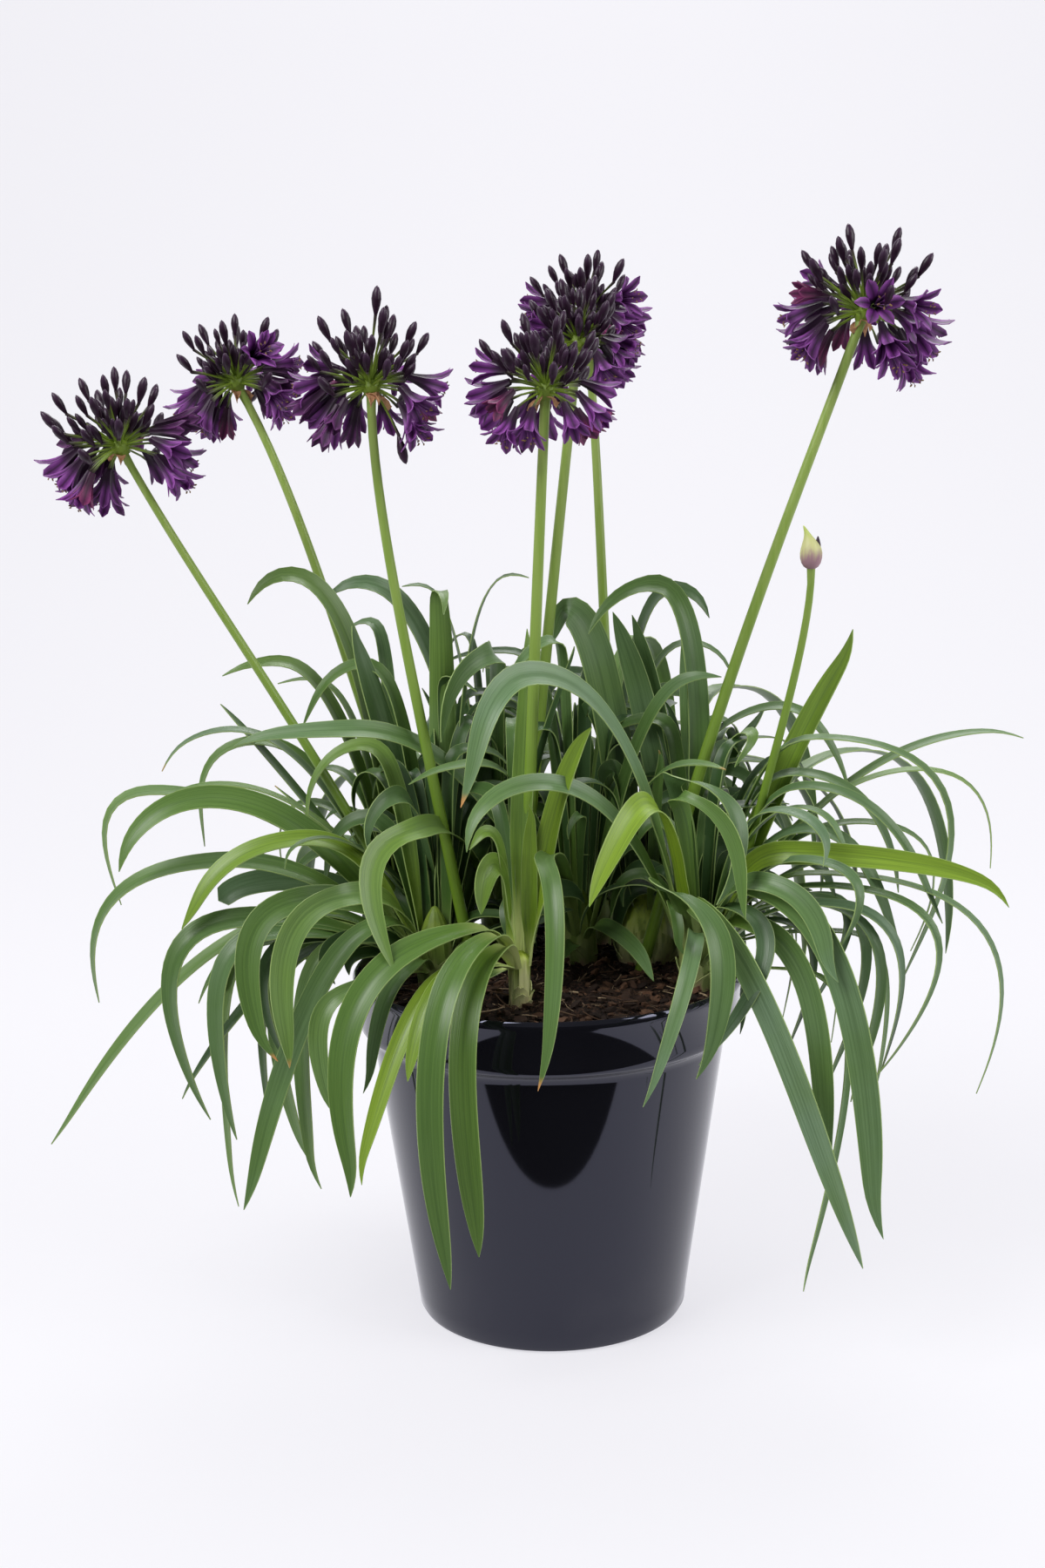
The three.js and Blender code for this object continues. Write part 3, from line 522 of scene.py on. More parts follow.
@dataclass(frozen=True)
class LeafSkin:
    """Strap leaf: from blue-green to yellow-green by tone, finely veined, with a pale thin edge."""

    deep: Colour = (0.028, 0.07, 0.014)
    middle: Colour = (0.088, 0.175, 0.022)
    bright: Colour = (0.235, 0.36, 0.022)
    # blue-grey of the waxy bloom, which also stands in as painted sheen on the crests and upper faces
    bloom: Colour = (0.17, 0.26, 0.17)
    edge: Colour = (0.36, 0.48, 0.16)
    blanched: Colour = (0.6, 0.68, 0.25)
    scorch: Colour = (0.5, 0.25, 0.08)
    veins: float = 22  # across the blade
    vein_changes: float = 4  # along it
    vein_sets: float = 40  # how soon two leaves differ in their veins as they differ in tone
    polish: float = 0.3  # roughness
    dulling: float = 0.18  # what the veins add to it
    lush: float = 0.14  # how much yellower it is towards its foot

    def material(self) -> Material:
        """Returns: the material."""
        graph = Graph("strap_leaf")
        across, along, off_centre = graph.laid()
        own = graph.mark("tone")
        tone = graph.plus(own, graph.ease(along, 0.1, 0.5, self.lush, 0))
        low = graph.fade(self.deep, self.middle, tone, 0.0, 0.55)
        colour = graph.fade(low, self.bright, tone, 0.45, 1.0)
        patches = graph.ease(graph.speckle(13, detail=3), 0.3, 0.7, 0.35, 1)
        # Waxy bloom plus painted sheen, laid on most from the crest on, where the upper face turns to the
        # light.
        greyed = graph.times(graph.mark("bloom"), graph.ease(along, 0.2, 0.5, 0.25, 1))
        colour = graph.blend(graph.times(patches, greyed), colour, self.bloom)
        lines = graph.node("CombineXYZ", X=graph.times(across, self.veins),
                           Y=graph.times(along, self.vein_changes), Z=graph.times(own, self.vein_sets))
        veins = graph.speckle(1.0, 2, lines.outputs["Vector"])
        colour = graph.fade(colour, self.deep, veins, 0.3, 0.65, 0.35, 0)
        colour = graph.fade(colour, self.deep, off_centre, 0.02, 0.12, 0.22, 0)
        # Pale leaf base only as far as its crown is unshaded; elsewhere the leaf's green stays there as
        # painted shade.
        foot = graph.times(graph.ease(along, 0.04, 0.26), -1)
        pale = graph.times(graph.plus(foot, 1), graph.mark("unshaded"))
        colour = graph.blend(pale, colour, self.blanched)
        colour = graph.fade(colour, self.edge, off_centre, 0.93, 1.0, 0, 0.6)
        burnt = graph.times(graph.ease(along, 0.972, 0.992), graph.mark("scorch"))
        colour = graph.blend(burnt, colour, self.scorch)
        graph.relief(veins, strength=0.25, depth=0.0006)
        rough = graph.plus(self.polish, graph.times(veins, self.dulling))
        return graph.surface(colour, rough, Specular_IOR_Level=0.42)


@dataclass(frozen=True)
class CrownSkin:
    """Fibrous foot of a crown: brown at the soil, then whitish and yellow-green, darkened by painted shade
    where the crown stands in shadow.
    """

    brown: Colour = (0.3, 0.19, 0.13)
    pale: Colour = (0.74, 0.76, 0.36)
    green: Colour = (0.42, 0.54, 0.05)
    # painted shade
    shaded: Colour = (0.09, 0.15, 0.02)

    def material(self) -> Material:
        """Returns: the material."""
        graph = Graph("leaf_sheath")
        fibres = graph.speckle(190, 5, graph.place((1, 1, 0.07)))
        wander = graph.strayed(graph.height(), fibres, 0.03)
        unshaded = graph.fade(self.pale, self.green, wander, 0.237, 0.26)
        # Painted shade: the foot keeps its own colour only as far as the crown is marked unshaded.
        colour = graph.blend(graph.mark("unshaded"), self.shaded, unshaded)
        colour = graph.fade(colour, self.shaded, fibres, 0.48, 0.6, 0, 0.6)
        colour = graph.fade(self.brown, colour, wander, 0.22, 0.232)
        graph.relief(fibres, strength=0.7, depth=0.0008)
        return graph.surface(colour, roughness=0.55, Specular_IOR_Level=0.4)


@dataclass(frozen=True)
class StemSkin:
    """Smooth green flower stem with faint lengthwise streaks, paler towards its head."""

    green: Colour = (0.15, 0.26, 0.022)
    pale: Colour = (0.25, 0.34, 0.08)

    def material(self) -> Material:
        """Returns: the material."""
        graph = Graph("flower_stem")
        streaks = graph.speckle(260, 4, graph.place((1, 1, 0.04)))
        colour = graph.fade(self.green, self.pale, graph.height(), 0.3, 0.62)
        colour = graph.fade(colour, self.green, streaks, 0.4, 0.65, 0, 0.45)
        graph.relief(streaks, strength=0.2, depth=0.0004)
        return graph.surface(colour, roughness=0.4, Specular_IOR_Level=0.45)


@dataclass(frozen=True)
class TepalSkin:
    """Petal-like tepal: paler margins, a darker stripe down the middle and a dusky tube."""

    name: str
    tube: Colour
    blade: Colour
    margin: Colour

    def material(self) -> Material:
        """Returns: the material."""
        graph = Graph(self.name)
        _, along, off_centre = graph.laid()
        colour = graph.fade(self.tube, self.blade, along, 0.2, 0.6)
        lit = graph.times(graph.ease(off_centre, 0.3, 0.9, 0, 0.85), graph.ease(along, 0.3, 0.6))
        colour = graph.blend(lit, colour, self.margin)
        colour = graph.fade(colour, self.tube, off_centre, 0.05, 0.3, 0.75, 0)
        colour = graph.fade(colour, self.tube, graph.speckle(60, detail=2), 0.35, 0.7, 0, 0.45)
        return graph.surface(colour, roughness=0.5, Specular_IOR_Level=0.35)


@dataclass(frozen=True)
class BudSkin:
    """Nearly black satin bud, dusky purple at its foot; the lighter slate towards its tip is painted sheen.
    """

    foot: Colour = (0.02, 0.004, 0.018)
    body: Colour = (0.017, 0.004, 0.015)
    # painted sheen towards the tip, also the colour of the mottle
    tip: Colour = (0.042, 0.018, 0.044)

    def material(self) -> Material:
        """Returns: the material."""
        graph = Graph("dark_bud")
        along = graph.mark("along")
        colour = graph.fade(self.foot, self.body, along, 0.1, 0.5)
        # Painted sheen: lighter slate over the upper end.
        colour = graph.fade(colour, self.tip, along, 0.55, 1.0)
        colour = graph.fade(colour, self.tip, graph.speckle(150, detail=4), 0.45, 0.75, 0, 0.5)
        return graph.surface(colour, roughness=0.38, Specular_IOR_Level=0.32)


@dataclass(frozen=True)
class PedicelSkin:
    """Thin yellow-green stalk that turns dusky where the flower begins."""

    green: Colour = (0.16, 0.24, 0.02)
    dusk: Colour = (0.03, 0.018, 0.02)

    def material(self) -> Material:
        """Returns: the material."""
        graph = Graph("pedicel")
        colour = graph.fade(self.green, self.dusk, graph.mark("along"), 0.5, 1.0)
        return graph.surface(colour, roughness=0.5, Specular_IOR_Level=0.4)


@dataclass(frozen=True)
class MottledSkin:
    """Small part of nearly one colour, mottled a little."""

    name: str
    colour: Colour
    mottle: Colour
    roughness: float = 0.6

    def material(self) -> Material:
        """Returns: the material."""
        graph = Graph(self.name)
        share = graph.ease(graph.speckle(350, detail=4), 0.35, 0.7)
        return graph.surface(graph.blend(share, self.colour, self.mottle), self.roughness)


@dataclass(frozen=True)
class YoungSheathSkin:
    """Closed sheath: mauve at its foot, then pale cream-green, and green along the beak."""

    mauve: Colour = (0.3, 0.17, 0.2)
    cream: Colour = (0.5, 0.5, 0.22)
    green: Colour = (0.42, 0.5, 0.12)

    def material(self) -> Material:
        """Returns: the material."""
        graph = Graph("young_sheath")
        along = graph.mark("along")
        streaks = graph.speckle(420, 3, graph.place((1, 1, 0.1)))
        wander = graph.strayed(along, streaks, 0.6)
        colour = graph.fade(self.mauve, self.cream, wander, 0.2, 0.5)
        colour = graph.fade(colour, self.green, along, 0.6, 0.9)
        return graph.surface(colour, roughness=0.5)


@dataclass(frozen=True)
class StudioPaper:
    """Plain pale paper of the floor and backdrop, a little light of its own in it."""

    white: Colour = (0.2, 0.2, 0.2)
    glow: Colour = (0.675, 0.667, 0.71)

    def material(self) -> Material:
        """Returns: the material."""
        graph = Graph("studio_paper")
        return graph.surface(self.white, roughness=0.9, Specular_IOR_Level=0.1,
                             Emission_Color=self.glow, Emission_Strength=1.0)


@cache
def painted(finish: object) -> Material:
    """Returns: the finish's material, made the first time only."""
    return finish.material()


VIOLET = TepalSkin("violet_tepal", (0.024, 0.004, 0.026), (0.12, 0.018, 0.16), (0.3, 0.08, 0.37))
PLUM = TepalSkin("plum_tepal", (0.026, 0.005, 0.026), (0.065, 0.011, 0.075), (0.16, 0.038, 0.17))
FADED = TepalSkin("faded_tepal", (0.04, 0.006, 0.03), (0.12, 0.014, 0.075), (0.25, 0.04, 0.14))
FILAMENT = MottledSkin("filament", (0.16, 0.05, 0.2), (0.08, 0.03, 0.1), 0.5)
ANTHER = MottledSkin("anther", (0.26, 0.15, 0.05), (0.1, 0.05, 0.03), 0.8)
PAPERY = MottledSkin("papery_bract", (0.5, 0.27, 0.13), (0.3, 0.14, 0.07), 0.8)
CHIPS = Litter("bark_chips", (0.014, 0.007, 0.0045), (0.16, 0.08, 0.045))
FIBRES = Litter("bark_fibres", (0.07, 0.038, 0.022), (0.6, 0.45, 0.28))
DARK = MottledSkin("dark_floor", (0.004, 0.004, 0.005), (0.003, 0.003, 0.004), 0.9)


# ---------------------------------------------------------------- shared modelling steps

WELD = 0.002  # points nearer to each other than this, in millimetres, are one
SMOOTH_UP_TO = 60  # degrees between faces up to which an edge is shaded smooth


def deselect() -> None:
    """Leaves nothing selected, in object mode."""
    if bpy.context.object and bpy.context.object.mode != "OBJECT":
        bpy.ops.object.mode_set(mode="OBJECT")
    bpy.ops.object.select_all(action="DESELECT")


def activate(piece: Piece) -> None:
    """Selects a piece alone and makes it the active one."""
    deselect()
    piece.select_set(True)
    bpy.context.view_layer.objects.active = piece


def named(name: str) -> Piece:
    """Returns: the active object, under its name."""
    piece = bpy.context.object
    piece.name = piece.data.name = name
    return piece


def added(name: str, command: Callable[..., set[str]], **settings: object) -> Piece:
    """Returns: what one of Blender's commands for adding a mesh makes, under its name."""
    deselect()
    command(**settings)
    return named(name)


@contextmanager
def editing() -> Iterator[None]:
    """Puts the active piece in edit mode, and back in object mode at the end."""
    bpy.ops.object.mode_set(mode="EDIT")
    yield
    bpy.ops.object.mode_set(mode="OBJECT")


def turned(name: str, section: Section, steps: int) -> Piece:
    """Draws half a section by extruding a corner along it, and spins it round the Z axis.

    Args:
        name: the piece's name.
        section: radius and height of each corner, in millimetres, in order along the section.
        steps: how many faces go round.

    Returns:
        The turned piece.
    """
    piece = added(name, bpy.ops.mesh.primitive_plane_add, size=MM)
    with editing():
        bpy.ops.mesh.select_all(action="SELECT")
        bpy.ops.mesh.merge(type="CENTER")
        last = Vector((0, 0, 0))
        for number, (radius, height) in enumerate(section):
            corner = Vector((radius, 0, height)) * MM
            if number:
                bpy.ops.mesh.extrude_region_move(TRANSFORM_OT_translate={"value": corner - last})
            else:
                bpy.ops.transform.translate(value=corner)
            last = corner
        bpy.ops.mesh.select_all(action="SELECT")
        bpy.ops.mesh.spin(steps=steps, angle=TURN, center=(0, 0, 0), axis=(0, 0, 1))
        bpy.ops.mesh.select_all(action="SELECT")
        bpy.ops.mesh.remove_doubles(threshold=WELD * MM)
        bpy.ops.mesh.normals_make_consistent(inside=False)
    return piece


@dataclass(frozen=True)
class Sheet:
    """Flat sheet to bend: for each of its points, how far aside from -1 to 1, and how far along."""

    piece: Piece
    offset: np.ndarray
    share: np.ndarray


def sheet(name: str, across: int, along: int) -> Sheet:
    """Returns: a flat sheet with so many faces across and along it."""
    piece = added(name, bpy.ops.mesh.primitive_grid_add, x_subdivisions=across,
                  y_subdivisions=along, size=2, calc_uvs=True)
    flat = points_of(piece)
    return Sheet(piece, flat[:, 0], (flat[:, 1] + 1) / 2)


def rod(name: str, sides: int, cuts: int) -> tuple[Piece, np.ndarray]:
    """Adds a rod of radius 1 with cuts between its ends, to bend.

    Args:
        name: the piece's name.
        sides: faces round it.
        cuts: rings between its ends.

    Returns:
        The rod, and its points: x and y on the circle, and the share along it.
    """
    piece = added(name, bpy.ops.mesh.primitive_cylinder_add, vertices=sides, radius=1, depth=1)
    half = 0.5  # the rod is 1 long and starts with its middle at the origin
    for edge in piece.data.edges:
        low, high = (piece.data.vertices[k].co.z for k in edge.vertices)
        edge.select = abs(low - high) > half
    for part in (*piece.data.polygons, *piece.data.vertices):
        part.select = False
    with editing():
        bpy.ops.mesh.select_mode(type="EDGE")
        bpy.ops.mesh.subdivide(number_cuts=cuts)
        bpy.ops.mesh.select_mode(type="VERT")
    return piece, points_of(piece) + np.array([0, 0, half])


def points_of(piece: Piece) -> np.ndarray:
    """Returns: the mesh's points, one a row."""
    points = np.zeros(len(piece.data.vertices) * 3, np.float32)
    piece.data.vertices.foreach_get("co", points)
    return points.reshape(-1, 3).astype(float)


def reshaped(piece: Piece, *points: np.ndarray) -> None:
    """Gives a mesh its new points in millimetres, as one array or one for each axis."""
    placed = points[0] if len(points) == 1 else np.stack(np.broadcast_arrays(*points), 1)
    piece.data.vertices.foreach_set("co", (placed * MM).astype(np.float32).ravel())
    piece.data.update()


def marked(piece: Piece, name: str, values: np.ndarray | float) -> None:
    """Writes an attribute on the points of a mesh, one value for each or one for all."""
    mark = piece.data.attributes.get(name) or piece.data.attributes.new(name, "FLOAT", "POINT")
    spread = np.broadcast_to(np.asarray(values, np.float32), len(piece.data.vertices))
    mark.data.foreach_set("value", np.ascontiguousarray(spread))


def copied(piece: Piece, place: Matrix | None = None) -> Piece:
    """Returns: a copy of a piece with its own mesh, moved, turned and scaled by place."""
    made = piece.copy()
    made.data = piece.data.copy()
    bpy.context.scene.collection.objects.link(made)
    if place is not None:
        made.data.transform(place)
    return made


def joined(parts: list[Piece], name: str) -> Piece:
    """Returns: the parts as one piece."""
    activate(parts[0])
    for part in parts:
        part.select_set(True)
    bpy.ops.object.join()
    return named(name)


def thickened(piece: Piece, thickness: float) -> None:
    """Gives a sheet its thickness, in millimetres, below its upper face."""
    activate(piece)
    wall = piece.modifiers.new("thickness", "SOLIDIFY")
    wall.thickness, wall.offset = thickness * MM, -1
    bpy.ops.object.modifier_apply(modifier=wall.name)


def ending(share: np.ndarray, last: float) -> np.ndarray:
    """Returns: 0 along a length up to its last part, and from there a steady rise to 1."""
    return np.clip((share - (1 - last)) / last, 0, 1)


def smoothed(piece: Piece, degrees: float = SMOOTH_UP_TO) -> None:
    """Shades a piece smooth up to that angle between faces."""
    activate(piece)
    bpy.ops.object.shade_smooth_by_angle(angle=math.radians(degrees))


def dressed(piece: Piece, finish: object) -> None:
    """Gives a piece one finish in place of any it has."""
    piece.data.materials.clear()
    piece.data.materials.append(painted(finish))


def shelved(*patterns: Piece) -> None:
    """Takes patterns that have been copied enough out of the scene."""
    for pattern in patterns:
        bpy.data.objects.remove(pattern, do_unlink=True)


def installed(piece: Piece, slot: str, *nodes: str) -> None:
    """Hands a finished piece to the frame.

    Args:
        piece: the piece, at the origin, its place in its mesh.
        slot: not used.
        *nodes: the solids it stands for.
    """
    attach(piece, ROOT_BODY)
    if nodes:
        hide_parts(*nodes)
    LOG.info("%s: %d faces", piece.name, len(piece.data.polygons))


def finished(piece: Piece, finish: object, slot: str, *nodes: str,
             degrees: float = SMOOTH_UP_TO) -> None:
    """Smooths and dresses a piece and hands it to the frame.

    Args:
        piece: the piece, at the origin, its place in its mesh.
        finish: what it is dressed in.
        slot: not used; it is only handed on to installed.
        *nodes: the solids it stands for.
        degrees: the angle between faces up to which it is shaded smooth.
    """
    smoothed(piece, degrees)
    dressed(piece, finish)
    installed(piece, slot, *nodes)


def aimed(start: Vector, along: Vector, level: Vector, scale: Place) -> Matrix:
    """Finds how to stand a part made along +Z somewhere else.

    Args:
        start: where its foot goes, in millimetres.
        along: where its +Z points.
        level: the side that its +X is turned towards.
        scale: its scale along its own axes.

    Returns:
        The matrix that does it.
    """
    ahead = along.normalized()
    side = (level - ahead * level.dot(ahead)).normalized()
    turn = Matrix((side, ahead.cross(side), ahead)).transposed().to_4x4()
    return Matrix.Translation(start * MM) @ turn @ Matrix.Diagonal((*scale, 1))


# ---------------------------------------------------------------- pot and soil


@dataclass
class Pot:
    """Round tapered pot with a deeper lip and a rolled rim."""

    steps: int = 144
    sharp_over: float = 35  # degrees between faces
    outside: Section = (
        (0, 3.5), (66, 3.5), (70, 0.6), (78, 0), (85.5, 0.3), (88.8, 1.6), (90.4, 4.6), (91.5, 14),
        (104.5, 102.5), (117.2, 189), (118.4, 193), (121.2, 195.8), (124.4, 197.4), (125.7, 199.4),
        (126.1, 203), (128.3, 226.5), (129.8, 228.6), (130, 231), (129.6, 232.8), (128.6, 233.8),
        (127.6, 233.6),
    )
    inside: Section = ((126.6, 232), (126.2, 228), (123.8, 199), (115.3, 192), (82.8, 6), (0, 6))

    def build(self) -> None:
        """Turns the pot and rounds its corners."""
        pot = turned("black_pot", self.outside + self.inside, self.steps)
        finished(pot, PotPlastic(), "pot", "pot", degrees=self.sharp_over)


@dataclass
class Soil:
    """Bark compost in the pot, with chips and fibres lying on it."""

    steps: int = 128
    wall: Section = ((0, 6.4), (82.4, 6.4), (114.7, 192.6), (124.6, 221))
    top: float = 226
    rings: int = 34
    smooth_up_to: float = 50  # degrees between faces
    flat_radius: float = 96  # where it starts to dip towards the rim
    clod: float = 6.5  # height of the clods
    clod_step: float = 0.055  # how far on in the noise each millimetre is
    clod_level: float = 0.3  # the level at which the noise is cut
    clod_grain: tuple[float, float, int] = (0.8, 2.2, 5)  # its increment, gaps between waves, waves
    settled: float = 0.7  # how much flatter the clods are at the rim
    chips: int = 1500
    fibres: int = 480
    chip_size: Place = (5.6, 2.9, 1.6)
    chip_roughness: float = 0.9  # how far its corners are off those of a block
    chip_edges: float = 25  # degrees between faces over which its edges are sharp
    chip_lift: float = 0.8  # how far its middle lies above the soil
    fibre_size: Span = (0.36, 15)  # radius and length
    fibre_lift: float = 1.6
    bowing: float = 2.2  # how far a fibre bends aside
    off_wall: float = 4  # how far from the rim the litter ends
    tilt: float = 0.7  # how far a piece of it leans at most, in radians
    sizes: Span = (0.35, 1.3)  # the smallest, and how much larger the largest is
    widths: Span = (0.6, 1.3)  # its width, as a share of its size

    def surface(self, x: float, y: float) -> float:
        """Returns: height of the soil over a point, all in millimetres."""
        radius, edge = self.wall[-1]
        dip = max(0.0, (math.hypot(x, y) - self.flat_radius) / (radius - self.flat_radius))
        spot = Vector((x * self.clod_step, y * self.clod_step, self.clod_level))
        clods = self.clod * noise.fractal(spot, *self.clod_grain)
        return self.top - (self.top - edge) * dip + clods * (1 - self.settled * dip)

    def plug(self) -> Piece:
        """Returns: the soil itself, a closed plug with a crumbled top."""
        radius, edge = self.wall[-1]
        top = tuple((radius * (1 - k / self.rings), self.top) for k in range(1, self.rings + 1))
        piece = turned("potting_soil", self.wall + top, self.steps)
        points = points_of(piece) / MM
        for number in np.flatnonzero(points[:, 2] > (self.top + edge) / 2):
            points[number, 2] = self.surface(*points[number, :2])
        reshaped(piece, points)
        return piece

    def chip(self) -> Piece:
        """Returns: one bark chip, lying at the origin."""
        piece = added("bark_chip", bpy.ops.mesh.primitive_cube_add, size=1)
        size = tuple(side * MM for side in self.chip_size)
        with editing():
            bpy.ops.mesh.select_all(action="SELECT")
            bpy.ops.transform.resize(value=size, center_override=(0, 0, 0))
            bpy.ops.mesh.subdivide(number_cuts=1)
            bpy.ops.transform.vertex_random(offset=self.chip_roughness * MM, seed=SEED)
        smoothed(piece, self.chip_edges)
        return piece

    def fibre(self) -> Piece:
        """Returns: one bent fibre, lying along X at the origin."""
        piece, circle = rod("bark_fibre", sides=5, cuts=2)
        wide, long = self.fibre_size
        x, y, share = circle.T
        reshaped(piece, (share - 0.5) * long, y * wide + self.bowing * np.sin(3 * share), x * wide)
        smoothed(piece)
        return piece

    def strewn(self, pattern: Piece, count: int, draws: Draws, lift: float) -> Piece:
        """Strews copies of a pattern over the soil.

        Args:
            pattern: what is copied.
            count: how many.
            draws: where the numbers come from.
            lift: how far a copy's middle lies above the soil, in millimetres.

        Returns:
            All of them as one piece.
        """
        parts = []
        reach = self.wall[-1][0] - self.off_wall
        least, more = self.sizes
        for _ in range(count):
            out, turn = reach * math.sqrt(draws.one()), draws.between(0, TURN)
            x, y = out * math.cos(turn), out * math.sin(turn)
            spot = Vector((x, y, self.surface(x, y) + lift)) * MM
            tilt = Quaternion((draws.between(-1, 1), draws.between(-1, 1), 0), draws.between(0, self.tilt))
            size = least + more * draws.one() ** 2
            stretch = Vector((size, size * draws.between(*self.widths), size))
            place = Matrix.LocRotScale(spot, tilt @ Quaternion(UP, draws.between(0, TURN)), stretch)
            parts.append(copied(pattern, place))
            marked(parts[-1], "tone", draws.one() ** 3)
        shelved(pattern)
        return joined(parts, "strewn_litter")

    def build(self) -> None:
        """Fills the pot and strews the litter."""
        draws = Draws(FILL_SEED)
        finished(self.plug(), PottingSoil(), "soil", "soil", degrees=self.smooth_up_to)
        chips = self.strewn(self.chip(), self.chips, draws, self.chip_lift)
        dressed(chips, CHIPS)
        fibres = self.strewn(self.fibre(), self.fibres, draws, self.fibre_lift)
        dressed(fibres, FIBRES)
        installed(joined([chips, fibres], "bark_litter"), "soil")


# ---------------------------------------------------------------- leaves


CURVE_STEPS = 201  # points on each curve at first
SPACING = 1.0  # millimetres between them once they are spread evenly
FEWEST = 8  # points on a short line


def followed(curves: list[np.ndarray], shares: np.ndarray,
             soften: float) -> tuple[np.ndarray, np.ndarray]:
    """Follows curves that meet end to end at even speed, the bend between them softened.

    Args:
        curves: the start, control point and end of each curve, one a row.
        shares: shares of the whole length.
        soften: how far before and after a bend it is eased, in millimetres.

    Returns:
        The points and the directions of travel there.
    """
    steps = np.linspace(0, 1, CURVE_STEPS)[:, None]
    line = np.concatenate([
        (1 - steps) ** 2 * start + 2 * steps * (1 - steps) * middle + steps**2 * end
        for start, middle, end in curves])
    lengths = np.concatenate([[0], np.cumsum(np.linalg.norm(np.diff(line, axis=0), axis=1))])
    even = np.linspace(0, lengths[-1], max(FEWEST, int(lengths[-1] / SPACING)))
    line = np.stack([np.interp(even, lengths, axis) for axis in line.T], 1)
    reach = min(int(soften / SPACING), len(line) - 2)
    window = np.hanning(2 * reach + 3)[1:-1]
    before, after = 2 * line[0] - line[reach:0:-1], 2 * line[-1] - line[-2:-reach - 2:-1]
    padded = np.concatenate([before, line, after])
    line = np.stack([np.convolve(axis, window / window.sum(), "valid") for axis in padded.T], 1)
    ways = np.gradient(line, axis=0)
    at = shares * (len(line) - 1)
    points, ways = (
        np.stack([np.interp(at, range(len(line)), axis) for axis in rows.T], 1) for rows in (line, ways))
    return points, ways / np.linalg.norm(ways, axis=1)[:, None]


# A leaf that fills the fan in beside another: how far it is turned from it, in radians, its size,
# and then its height at that size, width, tone and bloom, all as shares of the other's. Its lower
# tone is painted shade of the inside of the fan; its bloom includes painted sheen.
ASIDE_TURN = (-0.7, 0.7)
ASIDE_SIZE = (0.42, 0.78)
ASIDE_HEIGHT = (0.85, 1.05)
ASIDE_WIDTH = (0.6, 0.85)
ASIDE_TONE = (0.0, 0.9)
ASIDE_BLOOM_AND_SHEEN = 0.5


class Growth(Enum):
    """How a leaf stands: the share of its climb at which it bows over."""

    ARCHING = 1.0
    SPEAR = 0.62


@dataclass(frozen=True)
class Leaf:
    """One leaf: its crown, its row in the table, and how it is coloured."""

    crown: int
    row: Row
    tone: float
    bloom: float = BLOOM_AND_SHEEN
    scorch: float = 0.0
    shared: bool = True  # whether the solids have it too

    def growth(self) -> Growth:
        """Returns: how the leaf stands. A spear's tip is its highest point."""
        return Growth.SPEAR if self.row[TIP_TOP] > self.row[CREST_TOP] else Growth.ARCHING

    def curves(self, nudge: Span = (0, 0)) -> tuple[list[np.ndarray], Vector]:
        """Places the leaf's middle line.

        Args:
            nudge: how far the crest is moved across and up.

        Returns:
            The curves up to the crest and from it, and the direction across the leaf.
        """
        crest_x, crest_y, crest_z, shoulder_x, shoulder_y, tip_x, tip_y, tip_z, _, lift, _ = self.row
        x, y, radius, _ = CROWNS[self.crown]
        heading = Vector(((crest_x + tip_x) / 2 - x, (crest_y + tip_y) / 2 - y, 0)).normalized()
        across = heading.cross(UP)
        shift = across * nudge[0] + UP * nudge[1]
        root = Vector((x, y, NECK_ROOT if self.crown in NECKED else LEAF_ROOT))
        root += heading * radius * ROOT_OUT
        crest = Vector((crest_x, crest_y, crest_z)) + shift
        tip = Vector((tip_x, tip_y, tip_z)) + shift * TIP_SHIFT
        climb = root.lerp(crest, lift)
        climb.z = root.z + (crest.z - root.z) * self.growth().value
        shoulder = Vector((shoulder_x, shoulder_y, 0)) + shift * TIP_SHIFT
        shoulder.z = crest.z
        if self.growth() is Growth.SPEAR:
            return [np.array([root, climb, tip])], across
        return [np.array([root, climb, crest]), np.array([crest, shoulder, tip])], across

    def turned_aside(self, draws: Draws) -> "Leaf":
        """Returns: a smaller leaf like this one that fills the fan in beside it, darker as painted shade."""
        x, y, _, _ = CROWNS[self.crown]
        aside, size = draws.between(*ASIDE_TURN), draws.between(*ASIDE_SIZE)
        reach = Matrix.Rotation(aside, 2) * size
        spots = [Vector((x, y)) + reach @ Vector((self.row[k] - x, self.row[k + 1] - y))
                 for k in (0, 3, 5)]  # crest, shoulder and tip
        crest = LEAF_ROOT + (self.row[CREST_TOP] - LEAF_ROOT) * size * draws.between(*ASIDE_HEIGHT)
        tip = crest - (self.row[CREST_TOP] - self.row[TIP_TOP]) * size
        if min(spots[1].length, spots[2].length) < OVER_RIM:
            tip = max(tip, RIM_TOP)
        width = self.row[WIDTH] * draws.between(*ASIDE_WIDTH)
        row = (*spots[0], max(crest, tip), *spots[1], *spots[2], tip, width, *self.row[WIDTH + 1:])
        tone = self.tone * draws.between(*ASIDE_TONE)
        return Leaf(self.crown, row, tone, self.bloom * ASIDE_BLOOM_AND_SHEEN, shared=False)


def headed(crown: int, heading: float, out: Span, heights: Span, *shape: float) -> Row:
    """Writes the row of a leaf that grows straight out on one heading.

    Args:
        crown: its crown.
        heading: where it grows to, in radians round from +X.
        out: how far its crest and its tip are from the middle of the crown.
        heights: their heights.
        *shape: its width, lift and twist.

    Returns:
        The row.
    """
    x, y, _, _ = CROWNS[crown]
    crest, end = ((x + d * math.cos(heading), y + d * math.sin(heading)) for d in out)
    return (*crest, heights[0], *end, *end, heights[1], *shape)


